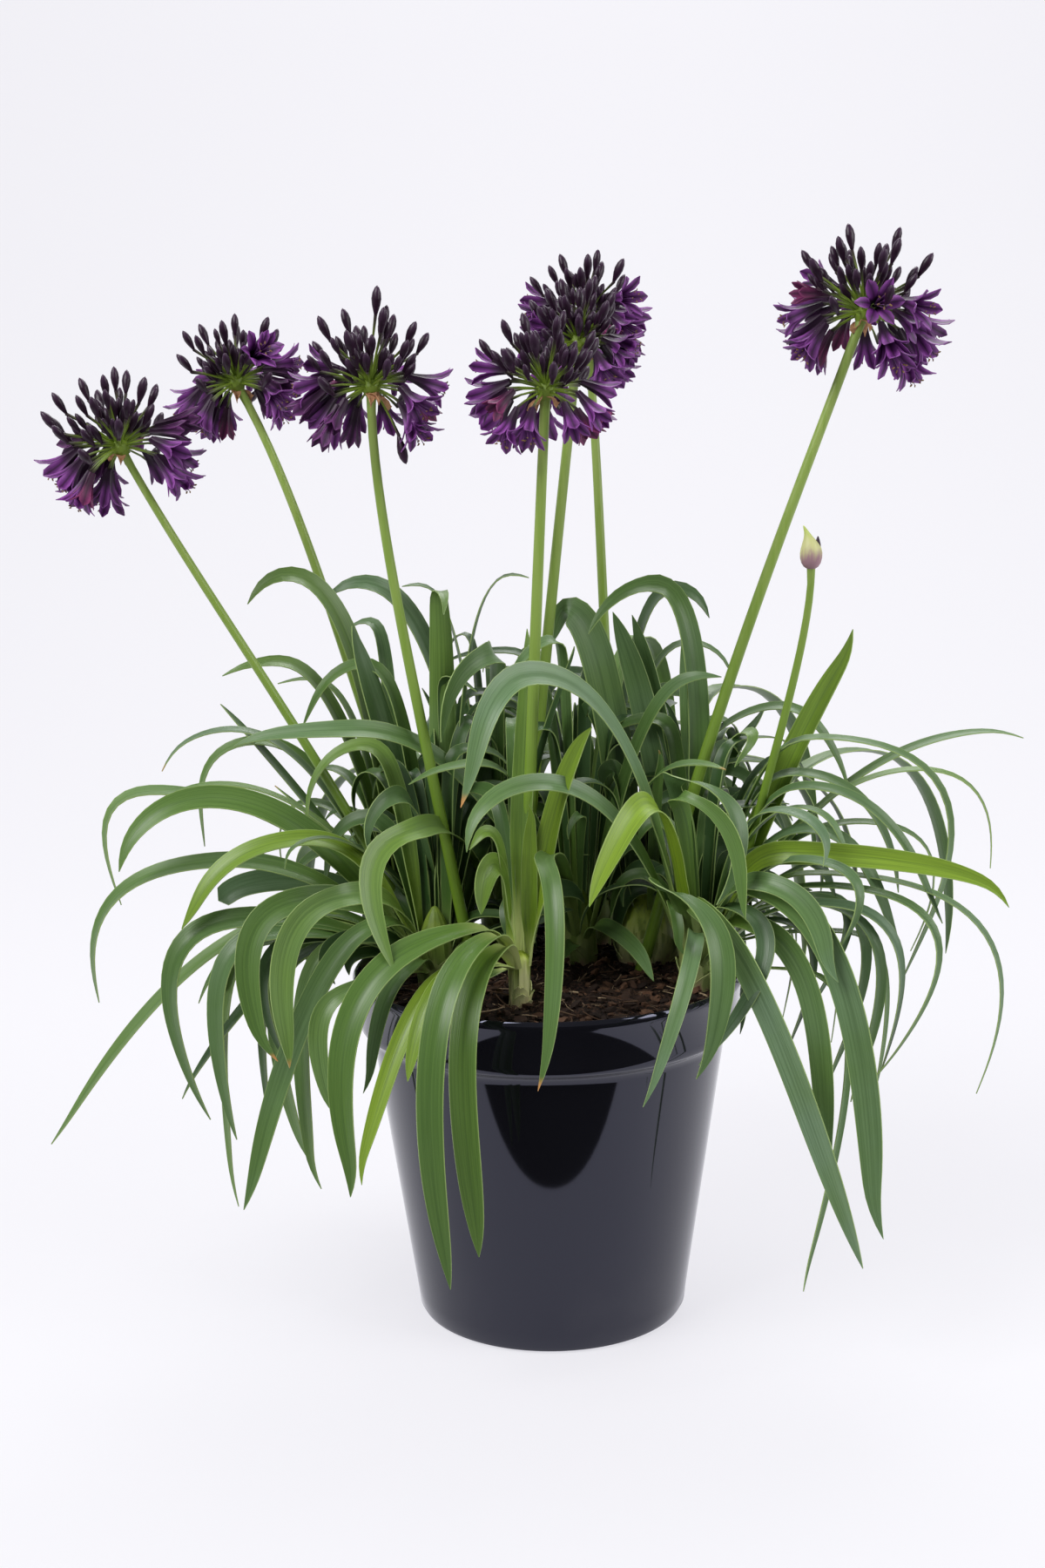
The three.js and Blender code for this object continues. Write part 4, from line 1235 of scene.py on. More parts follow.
@dataclass
class CrownFoot:
    """Foot of one leaf crown: a ribbed bulb or neck in the pointed bases of old leaves."""

    crown: int
    sides: int = 48
    ribs: int = 11
    rib_depth: float = 0.04
    rib_slant: float = 0.05  # how far on their wave is with each millimetre of height
    fibres: int = 23
    fibre_depth: float = 0.025
    bases: int = 8
    base_faces: int = 8  # across one, and along it
    base_from: float = 221  # height at which they start
    base_under: float = 244  # the first is as long as the crown's top is above this
    base_step: float = 3  # by which each is shorter than the one before
    base_scatter: float = 8
    clasp: float = 1.25  # how far a base reaches round to each side, in radians
    base_end: Span = (1.02, 1.8)  # its width at the foot, and how late it narrows from there
    layers: Span = (0.98, 0.02)  # share of the radius at which the first lies, and what each adds
    least_out: float = 0.6  # share of the radius that they keep out
    clear: float = 0.5  # how far they stand off the core
    curl: float = 2.5  # how far its tip stands off
    thickness: float = 0.8

    necked: bool = field(init=False)
    section: Section = field(init=False)
    radius: float = field(init=False)

    def __post_init__(self) -> None:
        """Chooses a bulb or a neck."""
        self.necked = self.crown in NECKED
        self.section = NECK if self.necked else BULB
        self.radius = CROWNS[self.crown][2] * FULL.get(self.crown, 1.0)

    def core(self) -> Piece:
        """Returns: the bulb or neck itself."""
        x, y, _, _ = CROWNS[self.crown]
        section = tuple((share * self.radius, height) for share, height in self.section)
        piece = turned("crown_core", section, self.sides)
        points = points_of(piece) / MM
        if self.necked:
            points[:, :2] *= np.interp(points[:, 2], NECK_SLIMS, (1, NECK_SLIMMEST))[:, None]
            points[:, 2] = np.minimum(points[:, 2], NECK_ROOT + (points[:, 2] - NECK_ROOT) * NECK_STUMP)
        turn = np.arctan2(points[:, 1], points[:, 0])
        ribs = 1 + self.rib_depth * np.sin(turn * self.ribs + self.rib_slant * points[:, 2])
        ribs = ribs + self.fibre_depth * np.sin(turn * self.fibres)
        reshaped(piece, x + points[:, 0] * ribs, y + points[:, 1] * ribs, points[:, 2])
        return piece

    def wrap(self, number: int, draws: Draws) -> Piece:
        """Returns: the base of one old leaf, a pointed scale that clasps the crown's section."""
        x, y, _, top = CROWNS[self.crown]
        flat = sheet("old_leaf_base", self.base_faces, self.base_faces)
        length = top - self.base_under - self.base_step * number
        length += draws.between(-self.base_scatter, self.base_scatter)
        height = self.base_from + length * (NECK_WRAPS if self.necked else 1) * flat.share
        widest, power = self.base_end
        turn = draws.between(0, TURN) + flat.offset * self.clasp * (widest - flat.share**power)
        bulge = np.interp(height, [h for _, h in self.section[1:]], [s for s, _ in self.section[1:]])
        first, further = self.layers
        out = self.radius * (first + further * number) * np.maximum(bulge, self.least_out)
        out = out + self.clear + self.curl * flat.share**3
        reshaped(flat.piece, x + out * np.cos(turn), y + out * np.sin(turn), height)
        thickened(flat.piece, self.thickness)
        return flat.piece

    def build(self, draws: Draws) -> None:
        """Wraps the core in its old leaves."""
        parts = [self.core()] + [self.wrap(number, draws) for number in range(self.bases)]
        foot = joined(parts, f"crown_foot_{self.crown}")
        marked(foot, "unshaded", CROWN_UNSHADED.get(self.crown, UNSHADED_ELSEWHERE))
        finished(foot, CrownSkin(), "leaf")


@dataclass
class Fan:
    """One leaf crown: all its leaves, and its foot."""

    crown: int
    rows: int = 40  # faces along a blade
    columns: int = 6  # faces across it
    soften: float = 22  # how far before and after the crest the bend is eased
    keel: float = 0.17  # depth of the fold, as a share of the width
    keel_power: float = 1.3  # the lower, the sharper the fold
    keel_fades: Span = (1.3, 0.8)  # its share of that at the root, and what is gone at the tip
    root_width: float = 0.36  # as a share of the full width
    swell: float = 1.7  # how soon a blade reaches its full width
    tapers: Span = (6, 11)  # the higher, the later a blade narrows to its tip
    tip_width: float = 0.01  # as a share of the full width
    fullness: float = 1.06  # how much wider a blade's middle is than on the solids
    ripple: float = 7  # degrees by which it rolls to and fro
    ripples: float = 2.5  # half waves of that
    ripple_starts: Span = (0, 6)
    sway: float = 2.2  # how far it wanders aside
    hook: float = 6.5  # how far a tip bends aside
    hooked: float = 0.1  # the share of it that bends
    thickness: float = 0.7
    twist_share: float = 0.3  # of the blade, along which it twists
    upright: int = 23  # small upright leaves
    beside: int = 6  # small leaves beside the others
    found: float = 0.25  # how near a solid's point has to be to a leaf's tip
    spear_out: Span = (12, 60)  # how far a small upright leaf's crest is from the crown
    spear_reach: Span = (8, 60)  # how much further its tip is
    spear_fall: Span = (-6, 55)  # how much lower
    spear_width: Span = (7.5, 12)
    spear_lift: float = 0.3
    spear_twist: Span = (0, 70)
    # Its tone is kept low as painted shade of the dim middle of the fan; its bloom and painted sheen are
    # slight.
    spear_tone: Span = (-0.25, 0.3)
    spear_bloom_and_sheen: float = 0.1

    def placed(self, leaf: Leaf, solid: KDTree) -> Span | None:
        """Returns: the nudge at which the leaf was grown, or None if it was left out."""
        tip = Vector(leaf.row[TIP])
        for nudge in NUDGES:
            _, across = leaf.curves(nudge)
            moved = tip + (across * nudge[0] + UP * nudge[1]) * TIP_SHIFT
            if solid.find(moved * MM)[2] < self.found * MM:
                return nudge
        return None

    def blade(self, pattern: Sheet, leaf: Leaf, nudge: Span, draws: Draws) -> Piece:
        """Bends a copy of the pattern along a leaf's midrib.

        Args:
            pattern: the flat blade, across -1 to 1 along X and from root to tip -1 to 1 along Y.
            leaf: the leaf.
            nudge: where it was grown.
            draws: numbers for its small bends.

        Returns:
            The leaf, without thickness.
        """
        piece = copied(pattern.piece)
        offset, share = pattern.offset, pattern.share
        curves, across = leaf.curves(nudge)
        points, ways = followed(curves, share, self.soften)
        level = leaf.row[0] > LEVEL_BEYOND and leaf.tone < LEVEL_TONE
        twist = math.copysign(1, across.y or 1) * math.radians(leaf.row[TWIST])
        twist *= LEVEL_TWIST if level else 1
        ripple = math.radians(draws.between(-self.ripple, self.ripple))
        ripple = ripple * np.sin(self.ripples * math.pi * share + draws.between(*self.ripple_starts))
        roll = twist * np.clip(share / self.twist_share, 0, 1) + ripple
        span = np.array(across)
        side = span * np.cos(roll)[:, None] + np.cross(span, ways) * np.sin(roll)[:, None]
        normal = np.cross(side, ways)
        taper = draws.between(*self.tapers) * (CUT_TAPER if leaf.row[CREST] == CUT_LEAF else 1)
        width = np.minimum(1, self.root_width + self.swell * share) * (1 + self.tip_width - share**taper)
        reach = leaf.row[WIDTH] / 2 * self.fullness * width * (LEVEL_WIDTH if level else 1)
        sway = draws.between(-self.sway, self.sway) * np.sin(TURN * share) * share
        sway += draws.between(-1, 1) * self.hook * ending(share, self.hooked) ** 2
        deep, fade = self.keel_fades
        fold = 1 - np.abs(offset) ** self.keel_power
        trough = -2 * self.keel * reach * fold * (deep - fade * share)
        reshaped(piece, points + side * (offset * reach + sway)[:, None] + normal * trough[:, None])
        marked(piece, "tone", leaf.tone)
        marked(piece, "bloom", leaf.bloom)
        marked(piece, "unshaded", CROWN_UNSHADED.get(self.crown, UNSHADED_ELSEWHERE))
        marked(piece, "scorch", leaf.scorch)
        return piece

    def spear(self, draws: Draws) -> Leaf:
        """Returns: a short upright leaf for the dim middle of the fan, leaning to the back."""
        heading, out = draws.between(0, math.pi), draws.between(*self.spear_out)
        height = draws.between(*SPEARS.get(self.crown, SHORT_SPEARS))
        reach = out + draws.between(*self.spear_reach)
        fall = height - draws.between(*self.spear_fall)
        row = headed(self.crown, heading, (out, reach), (height, fall), draws.between(*self.spear_width),
                     self.spear_lift, draws.between(*self.spear_twist))
        return Leaf(self.crown, row, draws.between(*self.spear_tone), self.spear_bloom_and_sheen, shared=False)

    def build(self, leaves: list[Leaf]) -> None:
        """Grows the fan.

        Args:
            leaves: the leaves of this crown.
        """
        node = f"leaf_fan_{self.crown}"
        draws = Draws(FILL_SEED + self.crown)
        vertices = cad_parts[node].data.vertices
        solid = KDTree(len(vertices))
        for vertex in vertices:
            solid.insert(vertex.co, vertex.index)
        solid.balance()
        crowding = CROWDING.get(self.crown, 1.0)
        fillers = [self.spear(draws) for _ in range(int(self.upright * crowding))]
        fillers += [leaves[int(draws.one() * len(leaves))].turned_aside(draws)
                    for _ in range(int(self.beside * crowding))]
        pattern = sheet("blade_pattern", self.columns, self.rows)
        blades = []
        for leaf in leaves + fillers:
            nudge = self.placed(leaf, solid) if leaf.shared else UNMOVED
            if nudge is not None:
                front = leaf.row[1] < FRONT
                blades.append(self.blade(pattern, leaf, UNMOVED if front else nudge, draws))
        shelved(pattern.piece)
        fan = joined(blades, f"strap_leaves_{self.crown}")
        thickened(fan, self.thickness)
        finished(fan, LeafSkin(), "leaf", node)
        CrownFoot(self.crown).build(draws)
        LOG.info("crown %d has %d leaves", self.crown, len(blades))


def all_leaves() -> dict[int, list[Leaf]]:
    """Returns: every leaf that the solids were grown from, by crown."""
    draws = Draws(FILL_SEED)
    leaves: dict[int, list[Leaf]] = {crown: [] for crown in CROWNS}
    for crown, rows in LEAVES.items():
        for row in rows:
            tone = LEAF_TONES.get(row[CREST], CROWN_TONES[crown] + draws.between(*TONE_SPREAD))
            bloom = scorch = 0.0
            if tone <= LEVEL_TONE:
                bloom = CROWN_BLOOMS_AND_SHEEN.get(crown, BLOOM_AND_SHEEN) * draws.between(*BLOOM_AND_SHEEN_SPREAD)
            if row[CREST] in SCORCHED:
                scorch = 1.0
            elif draws.one() < FAINTLY_SCORCHED:
                scorch = FAINT_SCORCH
            leaves[crown].append(Leaf(crown, row, tone, bloom, scorch))
    grown = Draws(SEED)
    (first, last), (start, more) = BACK_HEADINGS, BACK_STAGGER
    for number in range(BACK_LEAVES):
        crown = BACK_CROWNS[number % len(BACK_CROWNS)]
        share = (number + start + more * grown.one()) / BACK_LEAVES
        heading = math.radians(first + (last - first) * share)
        out = grown.between(*BACK_CREST_OUT)
        height = grown.between(*BACK_CREST_HEIGHT)
        fall = out + grown.between(*BACK_FALL_OUT)
        tip = height - grown.between(*BACK_FALL)
        width = grown.between(*BACK_WIDTH)
        row = headed(crown, heading, (out, fall), (height, tip), width, BACK_LIFT, 0)
        leaves[crown].append(Leaf(crown, row, CROWN_TONES[crown] + draws.between(*BACK_TONES)))
    return leaves


# ---------------------------------------------------------------- flower stems and heads


@dataclass
class Stem:
    """One flower stem: a tapering curve from the soil to its head."""

    number: int
    sides: int = 16
    cuts: int = 27
    radii: Span = (4.5, 3.0)
    flare: float = 0.6  # how much it widens under the head
    flared: float = 0.03  # along the last share of it
    ridge: float = 0.02  # how far it is from round, as a share of its radius
    ridges: int = 3

    def curve(self) -> tuple[Vector, Vector, Vector]:
        """Returns: the stem's foot, control point and top."""
        foot_x, foot_y, *lean_and_top = STEMS[self.number]
        return Vector((foot_x, foot_y, STEM_FOOT)), Vector(lean_and_top[:3]), Vector(lean_and_top[3:])

    def build(self) -> None:
        """Bends a rod along the curve."""
        piece, circle = rod(f"scape_{self.number}", self.sides, self.cuts)
        x, y, share = circle.T
        points, ways = followed([np.array(self.curve())], share, 1)
        points[:, 0] += STEM_BOWS.get(self.number, 0) * BOW_PEAK * share**4 * (1 - share)
        side = np.array([1.0, 0, 0]) - ways * ways[:, :1]
        side /= np.linalg.norm(side, axis=1)[:, None]
        radius = self.radii[0] + (self.radii[1] - self.radii[0]) * share
        radius += self.flare * ending(share, self.flared) ** 2
        radius *= STEM_GIRTH.get(self.number, 1.0)
        radius *= 1 + self.ridge * np.sin(self.ridges * np.arctan2(y, x) + self.number)
        reshaped(piece, points + side * (x * radius)[:, None] + np.cross(ways, side) * (y * radius)[:, None])
        finished(piece, StemSkin(), "stem", f"flower_stem_{self.number}")


class Bloom(Enum):
    """How far a floret has opened: flare of its tepals, their length and whether stamens show."""

    BUD = (0.0, 0.0, False)
    OPEN = (1.0, 1.0, True)
    HALF_OPEN = (0.5, 0.96, False)
    SHUT = (0.2, 1.0, False)
    FADED = (0.4, 0.82, False)


@dataclass
class FloretPatterns:
    """The few shapes that every flower head is put together from, at the foot of +Z."""

    bud_sides: int = 9
    bud_section: Section = (
        (0, 0), (0.3, 0.02), (0.5, 0.15), (0.84, 0.36), (1.0, 0.56), (0.86, 0.76), (0.46, 0.92), (0, 1),
    )
    seam: float = 0.08  # depth of a bud's seams, as a share of its radius
    pedicel_widens: Span = (0.6, 0.2)  # by how much, and along which share at its end
    pedicel_bow: float = 1.8
    tepals: int = 6
    tepal_rows: int = 6  # faces along one
    stations: Row = (0, 0.2, 0.45, 0.65, 0.85, 1)  # along a tepal, for the next three rows
    outs: Row = (1.4, 2.2, 3.6, 6.4, 10.6, 14.0)
    halves: Row = (1.1, 1.8, 2.8, 3.7, 3.1, 0.4)  # half its width
    rises: Row = (0, 0.25, 0.53, 0.74, 0.9)  # the tip's depends on how far it opens
    tip_rises: Span = (0.95, 0.1)  # fully open, and what a shut one adds
    spreads: Span = (0.32, 0.68)  # shut, and what opening adds
    shut_gap: float = 1.2  # how much further out the tepals of a shut one stand
    inner_wider: float = 1.08
    outer_narrower: float = 0.86
    outer_flare: float = 1.08
    fits: Span = (0.8, 0.7)  # half the width is at most this share of the way out, and this more
    dish: float = 0.32  # how far its sides bend out at the foot, as a share of half its width
    dish_fades: float = 0.6
    tucked: float = 0.3  # how far the inner ones stand inside the outer
    tepal_thickness: float = 0.4
    filament: float = 0.28  # radius
    filaments: int = 6
    filament_foot: float = 7
    filament_end: float = 24.5
    filament_turn: float = 0.4
    filament_out: Span = (0.8, 3.0)  # from the axis at the foot, and what is added up to the end
    filament_sag: float = 2.4
    anther: float = 0.7  # radius
    anther_shape: Place = (0.8, 0.8, 1.7)
    anther_tilt: float = 0.4  # how far it points up
    bract_size: Span = (3.6, 15)  # half its width and its length
    bract_power: float = 1.5  # the higher, the later it narrows
    bract_end: float = 0.4  # half its width there
    bract_curl: float = 1.6
    bract_waves: Span = (5, 2)  # of its curl along and across it, in radians
    bract_dish: float = 2
    bract_thickness: float = 0.35
    smooth_up_to: float = 70  # degrees between faces
    length: float = 27  # of a flower before its copies are scaled
    shapes: dict[object, Piece] = field(default_factory=dict)

    def bud(self) -> Piece:
        """Returns: a closed bud, 1 mm in radius and 1 mm long, with three shallow seams."""
        piece = turned("bud_pattern", self.bud_section, self.bud_sides)
        x, y, z = points_of(piece).T / MM
        marked(piece, "along", z)
        seams = 1 + self.seam * np.cos(3 * np.arctan2(y, x))
        reshaped(piece, x * seams, y * seams, z)
        dressed(piece, BudSkin())
        return piece

    def pedicel(self) -> Piece:
        """Returns: a stalk 1 mm in radius and 1 mm long, bowed a little to -X."""
        piece, circle = rod("pedicel_pattern", sides=5, cuts=2)
        x, y, share = circle.T
        more, last = self.pedicel_widens
        spread = 1 + more * ending(share, last)
        reshaped(piece, x * spread - self.pedicel_bow * np.sin(math.pi * share), y * spread, share)
        marked(piece, "along", share)
        dressed(piece, PedicelSkin())
        return piece

    def tepal(self, flare: float, stretch: float, inner: bool) -> Piece:
        """Makes one tepal, curving out from the tube along +X.

        Args:
            flare: how widely it opens, 1 for a flower in full bloom.
            stretch: its length as a share of the full one.
            inner: whether it is one of the three broader inner ones.

        Returns:
            The tepal, with its thickness.
        """
        flat = sheet("tepal", across=2, along=self.tepal_rows)
        piece, offset, share = flat.piece, flat.offset, flat.share
        shut, opening = self.spreads
        out = np.interp(share, self.stations, self.outs)
        out = out * (shut + opening * flare) + (1 - flare) * self.shut_gap
        tip = self.tip_rises[0] + self.tip_rises[1] * (1 - flare)
        rise = np.interp(share, self.stations, (*self.rises, tip))
        half = np.interp(share, self.stations, self.halves)
        half = half * (self.inner_wider if inner else self.outer_narrower)
        half = np.minimum(half, self.fits[0] * out + self.fits[1])
        dish = self.dish * np.abs(offset) * half * (1 - self.dish_fades * share)
        tucked = self.tucked if inner else 0
        reshaped(piece, out + dish - tucked, -offset * half, rise * self.length * stretch)
        thickened(piece, self.tepal_thickness)
        return piece

    def stamens(self) -> Piece:
        """Returns: six curved filaments with their anthers."""
        parts = []
        start, more = self.filament_out
        for number in range(self.filaments):
            thread, circle = rod("filament", sides=3, cuts=2)
            x, y, share = circle.T
            turn = number * TURN / self.filaments + self.filament_turn
            end = self.filament_end + number % 3
            cos, sin = math.cos(turn), math.sin(turn)
            out = start + more * share**2
            reshaped(thread, self.filament * x + out * cos + self.filament_sag * share**3,
                     self.filament * y + out * sin,
                     self.filament_foot + (end - self.filament_foot) * share)
            dressed(thread, FILAMENT)
            anther = added("anther", bpy.ops.mesh.primitive_uv_sphere_add, segments=4, ring_count=3,
                           radius=self.anther * MM)
            tip = Vector(((start + more) * cos + self.filament_sag, (start + more) * sin, end))
            facing = Vector((cos, sin, self.anther_tilt))
            anther.data.transform(aimed(tip, facing, UP, self.anther_shape))
            dressed(anther, ANTHER)
            parts += [thread, anther]
        return joined(parts, "stamens")

    def flower(self, bloom: Bloom, skin: TepalSkin) -> Piece:
        """Returns: a floret opened so far, at its full length."""
        flare, stretch, stamens = bloom.value
        inner = self.tepal(flare, stretch, True)
        outer = self.tepal(flare * self.outer_flare, stretch, False)
        parts = [copied(outer if k % 2 else inner, Matrix.Rotation(k * TURN / self.tepals, 4, "Z"))
                 for k in range(self.tepals)]
        shelved(inner, outer)
        cup = joined(parts, f"flower_{bloom.name.lower()}")
        dressed(cup, skin)
        return joined([cup, self.stamens()], cup.name) if stamens else cup

    def bract(self) -> Piece:
        """Returns: a papery scrap, hanging from the hub along +Z."""
        flat = sheet("bract_pattern", across=3, along=4)
        piece, offset, share = flat.piece, flat.offset, flat.share
        half, long = self.bract_size
        half = half * (1 - share**self.bract_power) + self.bract_end
        along, across = self.bract_waves
        curl = self.bract_curl * np.sin(along * share + across * offset) + self.bract_dish * offset**2
        reshaped(piece, offset * half, curl, long * share)
        thickened(piece, self.bract_thickness)
        dressed(piece, PAPERY)
        return piece

    def build(self) -> None:
        """Makes every pattern."""
        self.shapes = {Bloom.BUD: self.bud(), "pedicel": self.pedicel(), "bract": self.bract()}
        skins = {Bloom.OPEN: VIOLET, Bloom.HALF_OPEN: VIOLET, Bloom.SHUT: PLUM, Bloom.FADED: FADED}
        for bloom, skin in skins.items():
            self.shapes[bloom] = self.flower(bloom, skin)
        for pattern in self.shapes.values():
            smoothed(pattern, self.smooth_up_to)

    def clear(self) -> None:
        """Takes the patterns away again."""
        shelved(*self.shapes.values())


# How the florets that aren't closed buds stand, each with the share up to it. The rest are faded.
OPENINGS = ((Bloom.OPEN, 0.5), (Bloom.HALF_OPEN, 0.75), (Bloom.SHUT, 0.93))

INNER_FLOWERS = {4: 7}  # small flowers inside a head
MORE_INNER_FLOWERS = 14  # in the other heads

# Florets that stand out from their head: pedicel's direction, share of the reach, bloom and facing.
STANDOUTS = {
    1: (((-0.95, -0.2, 0.24), 1.0, Bloom.BUD, None),),
    3: (
        ((0.45, -0.25, -0.8), 0.98, Bloom.BUD, (0.25, -0.1, -1)),
        ((0.1, -0.1, 1), 1.12, Bloom.BUD, None),
    ),
    6: (((0.12, -0.95, 0.16), 0.7, Bloom.OPEN, (0.06, -1, 0.1)),),
}


@dataclass
class Umbel:
    """One flower head: florets spread over a hub, the upper ones closed."""

    number: int
    patterns: FloretPatterns
    florets: int = 28
    spread: float = 124  # degrees from the axis of the head
    top_buds: int = 10
    bud_every: int = 4
    reaches: Span = (0.88, 1.0)
    sizes: Span = (0.9, 1.08)
    scatter: float = 0.5
    standout_size: float = 1.1
    inner_buds: int = 38
    bud_spread: float = 80  # degrees from the axis within which the inner buds stand
    bud_reaches: Span = (0.45, 0.84)
    bud_sizes: Span = (0.68, 1.0)
    bud_start: float = 1  # how far round their spiral starts, in radians
    flower_belt: Span = (0.3, 1.0)  # places in the spiral that they take
    flower_reaches: Span = (0.74, 0.98)
    flower_sizes: Span = (0.85, 1.05)
    flower_start: float = 2
    upward: float = 0.95  # how far a bud turns up from its pedicel
    pedicel_share: float = 0.48
    pedicel: float = 0.72  # radius
    socket: float = 1  # how far it reaches into the floret
    bud_length: float = 17
    bud_radius: float = 2.85
    nod: float = 0.8
    late_front: float = 0.72  # florets further to the front than this open last,
    late_above: float = -0.15  # if they point up more than this
    hub_sides: int = 16
    hub_section: Section = ((0, -6), (3.4, -6), (5.4, -3), (6.2, 0.5), (4.6, 4), (0, 5.5))
    bracts: int = 3
    bract_drops: Span = (-1.4, -0.5)
    bract_lengths: Span = (0.7, 1.1)
    bract_under: float = 3  # how far below the middle of the hub
    parting: float = 0.34  # how far the florets on the front keep from the line of the stem

    def axis(self) -> tuple[Vector, Vector, Quaternion]:
        """Returns: the hub, the stem's direction there, and the head's tilt."""
        _, lean, hub = Stem(self.number).curve()
        along = (hub - lean).normalized()
        return hub, along, UP.rotation_difference((along + UP).normalized())

    def way(self, place: float, turn: float, tilt: Quaternion) -> Vector:
        """Returns: a floret's direction from its place, 0 at the top to 1, and its turn."""
        height = 1 - (1 - math.cos(math.radians(self.spread))) * place
        out = math.sqrt(max(0.0, 1 - height * height))
        way = Vector((out * math.cos(turn), out * math.sin(turn), height))
        way.rotate(tilt)
        return way

    def floret(self, way: Vector, reach: float, bloom: Bloom, size: float = 1.0,
               facing: Vector | None = None) -> list[Piece]:
        """Sets one floret on the hub.

        Args:
            way: its pedicel's direction.
            reach: how far its tip is from the hub.
            bloom: how far it has opened.
            size: its size, 1 for a full-grown one.
            facing: where it faces, if it neither stands up nor nods.

        Returns:
            The pedicel and the flower.
        """
        hub, _, _ = self.axis()
        steepness = math.hypot(way.x, way.y)
        if bloom is Bloom.BUD:
            long = self.bud_length * size
            facing = facing or (way + UP * self.upward * steepness).normalized()
            scale = (self.bud_radius * size, self.bud_radius * size, long)
        else:
            long = reach * (1 - self.pedicel_share)
            facing = facing or (way - UP * self.nod * steepness * (1 - way.z)).normalized()
            scale = (size, size, long / self.patterns.length)
        neck = hub + way * (reach - long)
        stalk = aimed(hub, way, -UP, (self.pedicel, self.pedicel, reach - long + self.socket))
        return [copied(self.patterns.shapes["pedicel"], stalk),
                copied(self.patterns.shapes[bloom], aimed(neck, facing, UP.cross(way), scale))]

    def knob(self) -> Piece:
        """Returns: the knob on top of the stem from which the pedicels spring."""
        hub, along, _ = self.axis()
        piece = turned("hub", self.hub_section, self.hub_sides)
        marked(piece, "along", 0.0)
        piece.data.transform(aimed(hub, along, Vector((1, 0, 0)), (1, 1, 1)))
        dressed(piece, PedicelSkin())
        return piece

    def build(self) -> None:
        """Sets every floret on the hub."""
        reach = HEAD_REACH[self.number]
        hub, _, tilt = self.axis()
        grown, extra = Draws(SEED + self.number), Draws(FILL_SEED + self.number)
        parts = [self.knob()]
        for k in range(self.florets):
            way = self.way((k + 0.5) / self.florets, k * GOLDEN_ANGLE + self.scatter * grown.one(), tilt)
            closed = k < self.top_buds or k % self.bud_every == 0 or self.late(way)
            bloom = Bloom.BUD if closed else self.opened(extra)
            length, size = reach * grown.between(*self.reaches), extra.between(*self.sizes)
            if not self.before_stem(way):
                parts += self.floret(way, length, bloom, size)
        share = (1 - math.cos(math.radians(self.bud_spread))) / (1 - math.cos(math.radians(self.spread)))
        for k in range(self.inner_buds):
            turn = k * GOLDEN_ANGLE + self.bud_start + extra.one()
            way = self.way(share * (k + 0.5) / self.inner_buds, turn, tilt)
            length = reach * extra.between(*self.bud_reaches)
            parts += self.floret(way, length, Bloom.BUD, extra.between(*self.bud_sizes))
        inner = INNER_FLOWERS.get(self.number, MORE_INNER_FLOWERS)
        low, high = self.flower_belt
        for k in range(inner):
            place = low + (high - low) * (k + 0.5) / inner
            way = self.way(place, k * GOLDEN_ANGLE + self.flower_start + extra.one(), tilt)
            length = reach * extra.between(*self.flower_reaches)
            if not self.late(way) and not self.before_stem(way):
                parts += self.floret(way, length, self.opened(extra), extra.between(*self.flower_sizes))
        for way, share, bloom, facing in STANDOUTS.get(self.number, ()):
            parts += self.floret(Vector(way).normalized(), reach * share, bloom, self.standout_size,
                                 facing and Vector(facing))
        for _ in range(self.bracts):
            turn = extra.between(0, TURN)
            way = Vector((math.cos(turn), math.sin(turn), extra.between(*self.bract_drops)))
            scale = (1, 1, extra.between(*self.bract_lengths))
            place = aimed(hub - UP * self.bract_under, way, UP.cross(way), scale)
            parts.append(copied(self.patterns.shapes["bract"], place))
        installed(joined(parts, f"umbel_{self.number}"), "flower", f"flower_head_{self.number}")

    def before_stem(self, way: Vector) -> bool:
        """Returns: whether a floret would hang down in front of the stem."""
        _, along, _ = self.axis()
        beside = abs(way.x * along.z - way.z * along.x)
        return way.y < 0 and way.x * along.x + way.z * along.z < 0 and beside < self.parting

    def late(self, way: Vector) -> bool:
        """Returns: whether a floret is on the front of the head, where they open last."""
        return way.y < -self.late_front and way.z > self.late_above

    @staticmethod
    def opened(draws: Draws) -> Bloom:
        """Returns: how far the next flower has opened."""
        pick = draws.one()
        for bloom, share in OPENINGS:
            if pick < share:
                return bloom
        return Bloom.FADED


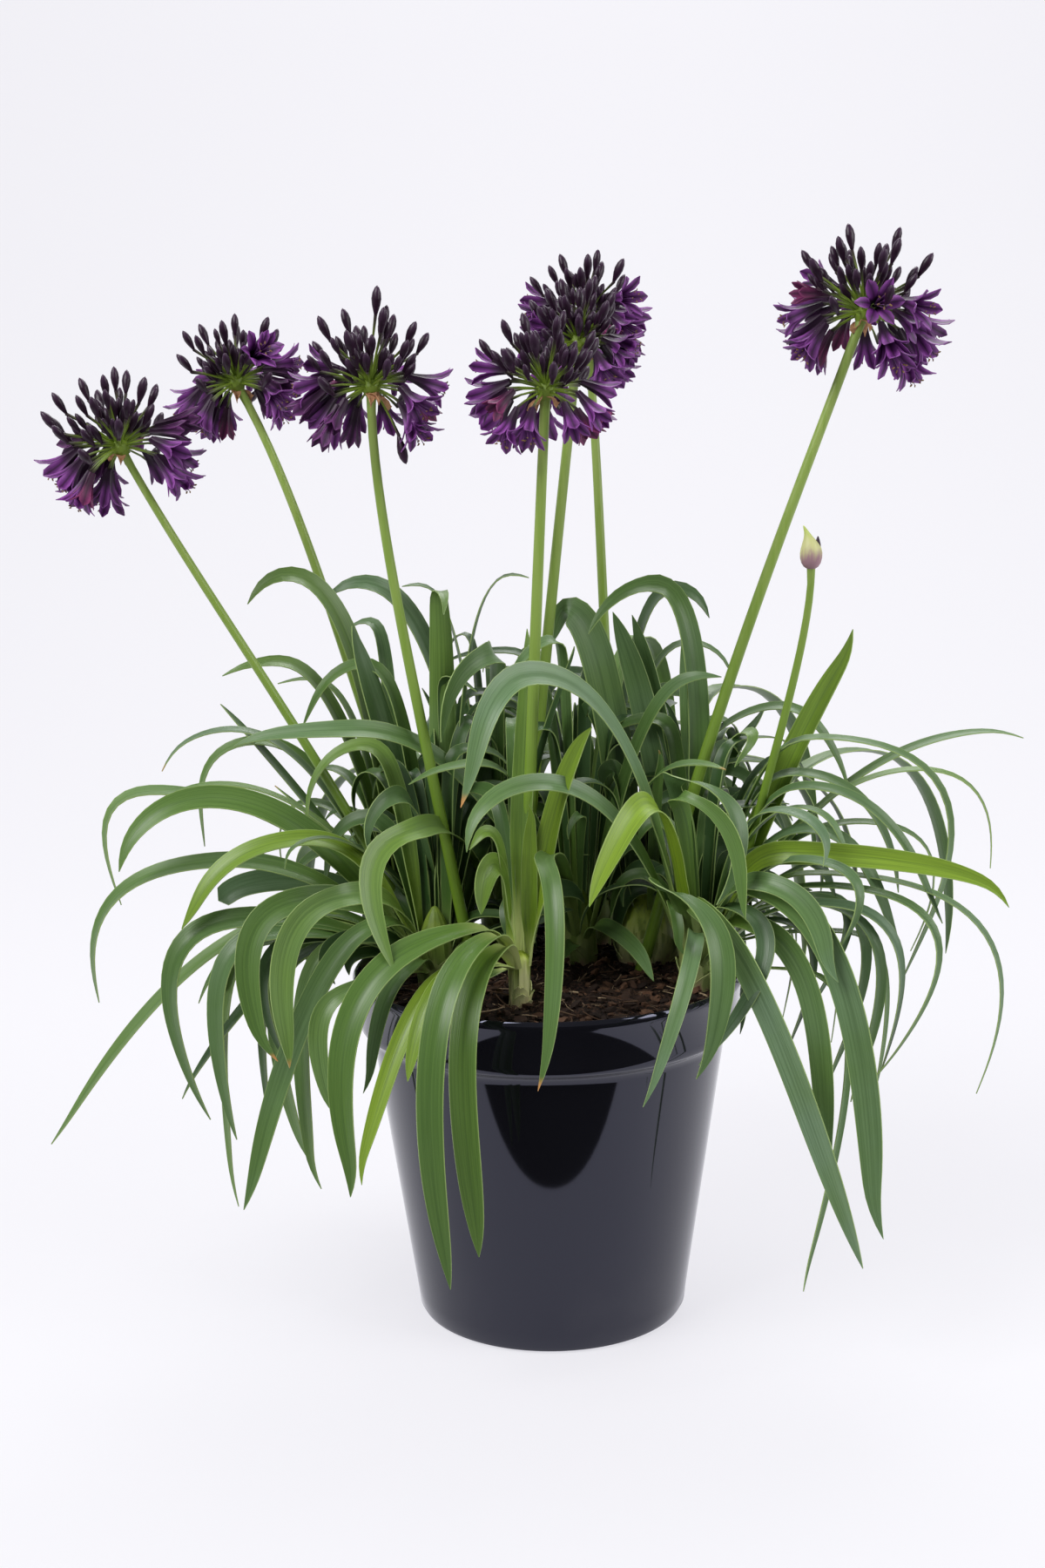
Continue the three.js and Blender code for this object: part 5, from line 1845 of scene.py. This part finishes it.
@dataclass
class YoungSheath:
    """Closed sheath with a curved beak, on the youngest stem."""

    number: int = 8
    section: Section = (
        (0, -1), (2.6, -1), (4.7, 0.4), (6.2, 2.8), (7.0, 6), (7.1, 9), (6.5, 12), (5.2, 15),
        (3.7, 17.6), (2.5, 20), (1.6, 22.3), (1.0, 24.4), (0.45, 26), (0, 26.3),
    )
    sides: int = 20
    drift: float = -5.0  # of the beak's tip along X
    beak: float = 0.55  # the share of it that leans
    beak_power: float = 1.6
    bud_sides: int = 10
    bud_section: Section = ((0, 9), (1.8, 11), (1.9, 14), (1.2, 17), (0.5, 19), (0, 19.6))
    bud_aside: float = 4.2
    bud_shade: float = 0.7  # the place along a bud whose colour it has

    def build(self) -> None:
        """Builds the sheath and the first bud, whose tip shows at its shoulder."""
        self.sheath()
        self.peeking_bud()

    def peeking_bud(self) -> None:
        """Turns the small bud and sets it beside the sheath's middle."""
        _, _, top = Stem(self.number).curve()
        piece = turned("peeking_bud", self.bud_section, self.bud_sides)
        x, y, z = points_of(piece).T / MM
        marked(piece, "along", self.bud_shade)
        reshaped(piece, x + top.x + self.bud_aside, y + top.y, z + top.z)
        finished(piece, BudSkin(), "flower")

    def sheath(self) -> None:
        """Turns the sheath, then leans its beak over."""
        _, _, top = Stem(self.number).curve()
        piece = turned("young_sheath", self.section, self.sides)
        x, y, z = points_of(piece).T / MM
        low, high = self.section[0][1], self.section[-1][1]
        share = np.clip((z - low) / (high - low), 0, 1)
        marked(piece, "along", share)
        lean = self.drift * ending(share, self.beak) ** self.beak_power
        reshaped(piece, x + lean + top.x, y + top.y, z + top.z)
        finished(piece, YoungSheathSkin(), "sheath", f"flower_bud_{self.number}")


# ---------------------------------------------------------------- studio


@dataclass
class Studio:
    """Pale paper sweep, soft lights, the dark of the room in front, and the camera."""

    camera_place: Place = (-0.015, -1.35, 0.603)
    camera_pitch: float = 10.3  # degrees below the horizon
    camera_roll: float = 0.91
    lens: float = 48
    sensor: float = 36
    lamps: tuple[tuple[str, Place, float, float], ...] = (  # name, place, side and power in watts
        ("high_left", (-1.5, -1.2, 2.3), 1.5, 72),
        ("right_fill", (2.2, -0.9, 1.5), 1.5, 42),
        ("back_light", (0.4, 1.5, 2.5), 1.4, 34),
    )
    lit: Place = (0, 0, 0.35)  # where the lamps face
    wall: float = 2.4  # how far behind the pot the paper rises
    wide: float = 9
    tall: float = 5
    bend: float = 1.2
    bend_steps: int = 16
    dark_from: float = -0.249  # the dark floor in front, which only the gloss of the pot shows
    dark_size: Span = (5, 3)
    dark_lift: float = 0.002  # over the paper
    sky: Colour = (0.97, 0.98, 1.0)
    sky_strength: float = 0.2

    def sweep(self) -> None:
        """Lays the paper: a floor that curves up into a wall behind the plant."""
        paper = added("paper_sweep", bpy.ops.mesh.primitive_plane_add, size=1)
        with editing():
            bpy.ops.mesh.select_all(action="SELECT")
            bpy.ops.transform.resize(value=(self.wide, 2 * self.wall, 1), center_override=(0, 0, 0))
            bpy.ops.mesh.select_all(action="DESELECT")
        for edge in paper.data.edges:
            edge.select = all(paper.data.vertices[k].co.y > 0 for k in edge.vertices)
        for vertex in paper.data.vertices:
            vertex.select = vertex.co.y > 0
        with editing():
            bpy.ops.mesh.extrude_region_move(TRANSFORM_OT_translate={"value": (0, 0, self.tall)})
        activate(paper)
        curve = paper.modifiers.new("curve", "BEVEL")
        curve.width, curve.segments, curve.limit_method = self.bend, self.bend_steps, "ANGLE"
        bpy.ops.object.modifier_apply(modifier=curve.name)
        smoothed(paper)
        dressed(paper, StudioPaper())

    def dark_floor(self) -> None:
        """Lays the dark of the room in front of the paper, for the pot to mirror."""
        card = added("dark_floor", bpy.ops.mesh.primitive_plane_add, size=1)
        wide, deep = self.dark_size
        middle = Matrix.Translation((0, self.dark_from - deep / 2, self.dark_lift))
        card.data.transform(middle @ Matrix.Diagonal((wide, deep, 1, 1)))
        dressed(card, DARK)
        card.visible_camera = card.visible_diffuse = card.visible_shadow = False
        card.visible_transmission = card.visible_volume_scatter = False

    def softbox(self, name: str, place: Place, size: float, power: float) -> None:
        """Hangs a square soft light that faces the plant.

        Args:
            name: its name.
            place: where it hangs.
            size: its side, in metres.
            power: its power, in watts.
        """
        light = bpy.data.lights.new(name, "AREA")
        light.size, light.energy = size, power
        lamp = bpy.data.objects.new(name, light)
        lamp.location = place
        towards = Vector(self.lit) - Vector(place)
        lamp.rotation_euler = towards.to_track_quat("-Z", "Y").to_euler()
        bpy.context.scene.collection.objects.link(lamp)

    def camera(self) -> None:
        """Sets up the camera."""
        lens = bpy.data.cameras.new("camera")
        lens.lens, lens.sensor_width, lens.sensor_fit = self.lens, self.sensor, "AUTO"
        camera = bpy.data.objects.new("camera", lens)
        turn = Matrix.Rotation(math.radians(90 - self.camera_pitch), 4, "X")
        roll = Matrix.Rotation(math.radians(-self.camera_roll), 4, "Z")
        camera.matrix_world = Matrix.Translation(self.camera_place) @ turn @ roll
        bpy.context.scene.collection.objects.link(camera)
        bpy.context.scene.camera = camera

    def build(self) -> None:
        """Lights the plant."""
        self.sweep()
        self.dark_floor()
        for lamp in self.lamps:
            self.softbox(*lamp)
        world = bpy.data.worlds.new("studio")
        world.use_nodes = True
        sky = world.node_tree.nodes["Background"]
        sky.inputs["Color"].default_value = (*self.sky, 1)
        sky.inputs["Strength"].default_value = self.sky_strength
        bpy.context.scene.world = world
        bpy.context.scene.view_settings.view_transform = "Standard"
        self.camera()


def main() -> None:
    """Builds every piece in order."""
    logging.basicConfig(level=logging.INFO, format="%(name)s: %(message)s")
    Studio().build()
    Pot().build()
    Soil().build()
    leaves = all_leaves()
    for crown in CROWNS:
        Fan(crown).build(leaves[crown])
    for number in STEMS:
        Stem(number).build()
    patterns = FloretPatterns()
    patterns.build()
    for number in HEAD_REACH:
        Umbel(number, patterns).build()
    patterns.clear()
    YoungSheath().build()


if __name__ == "__main__":
    main()
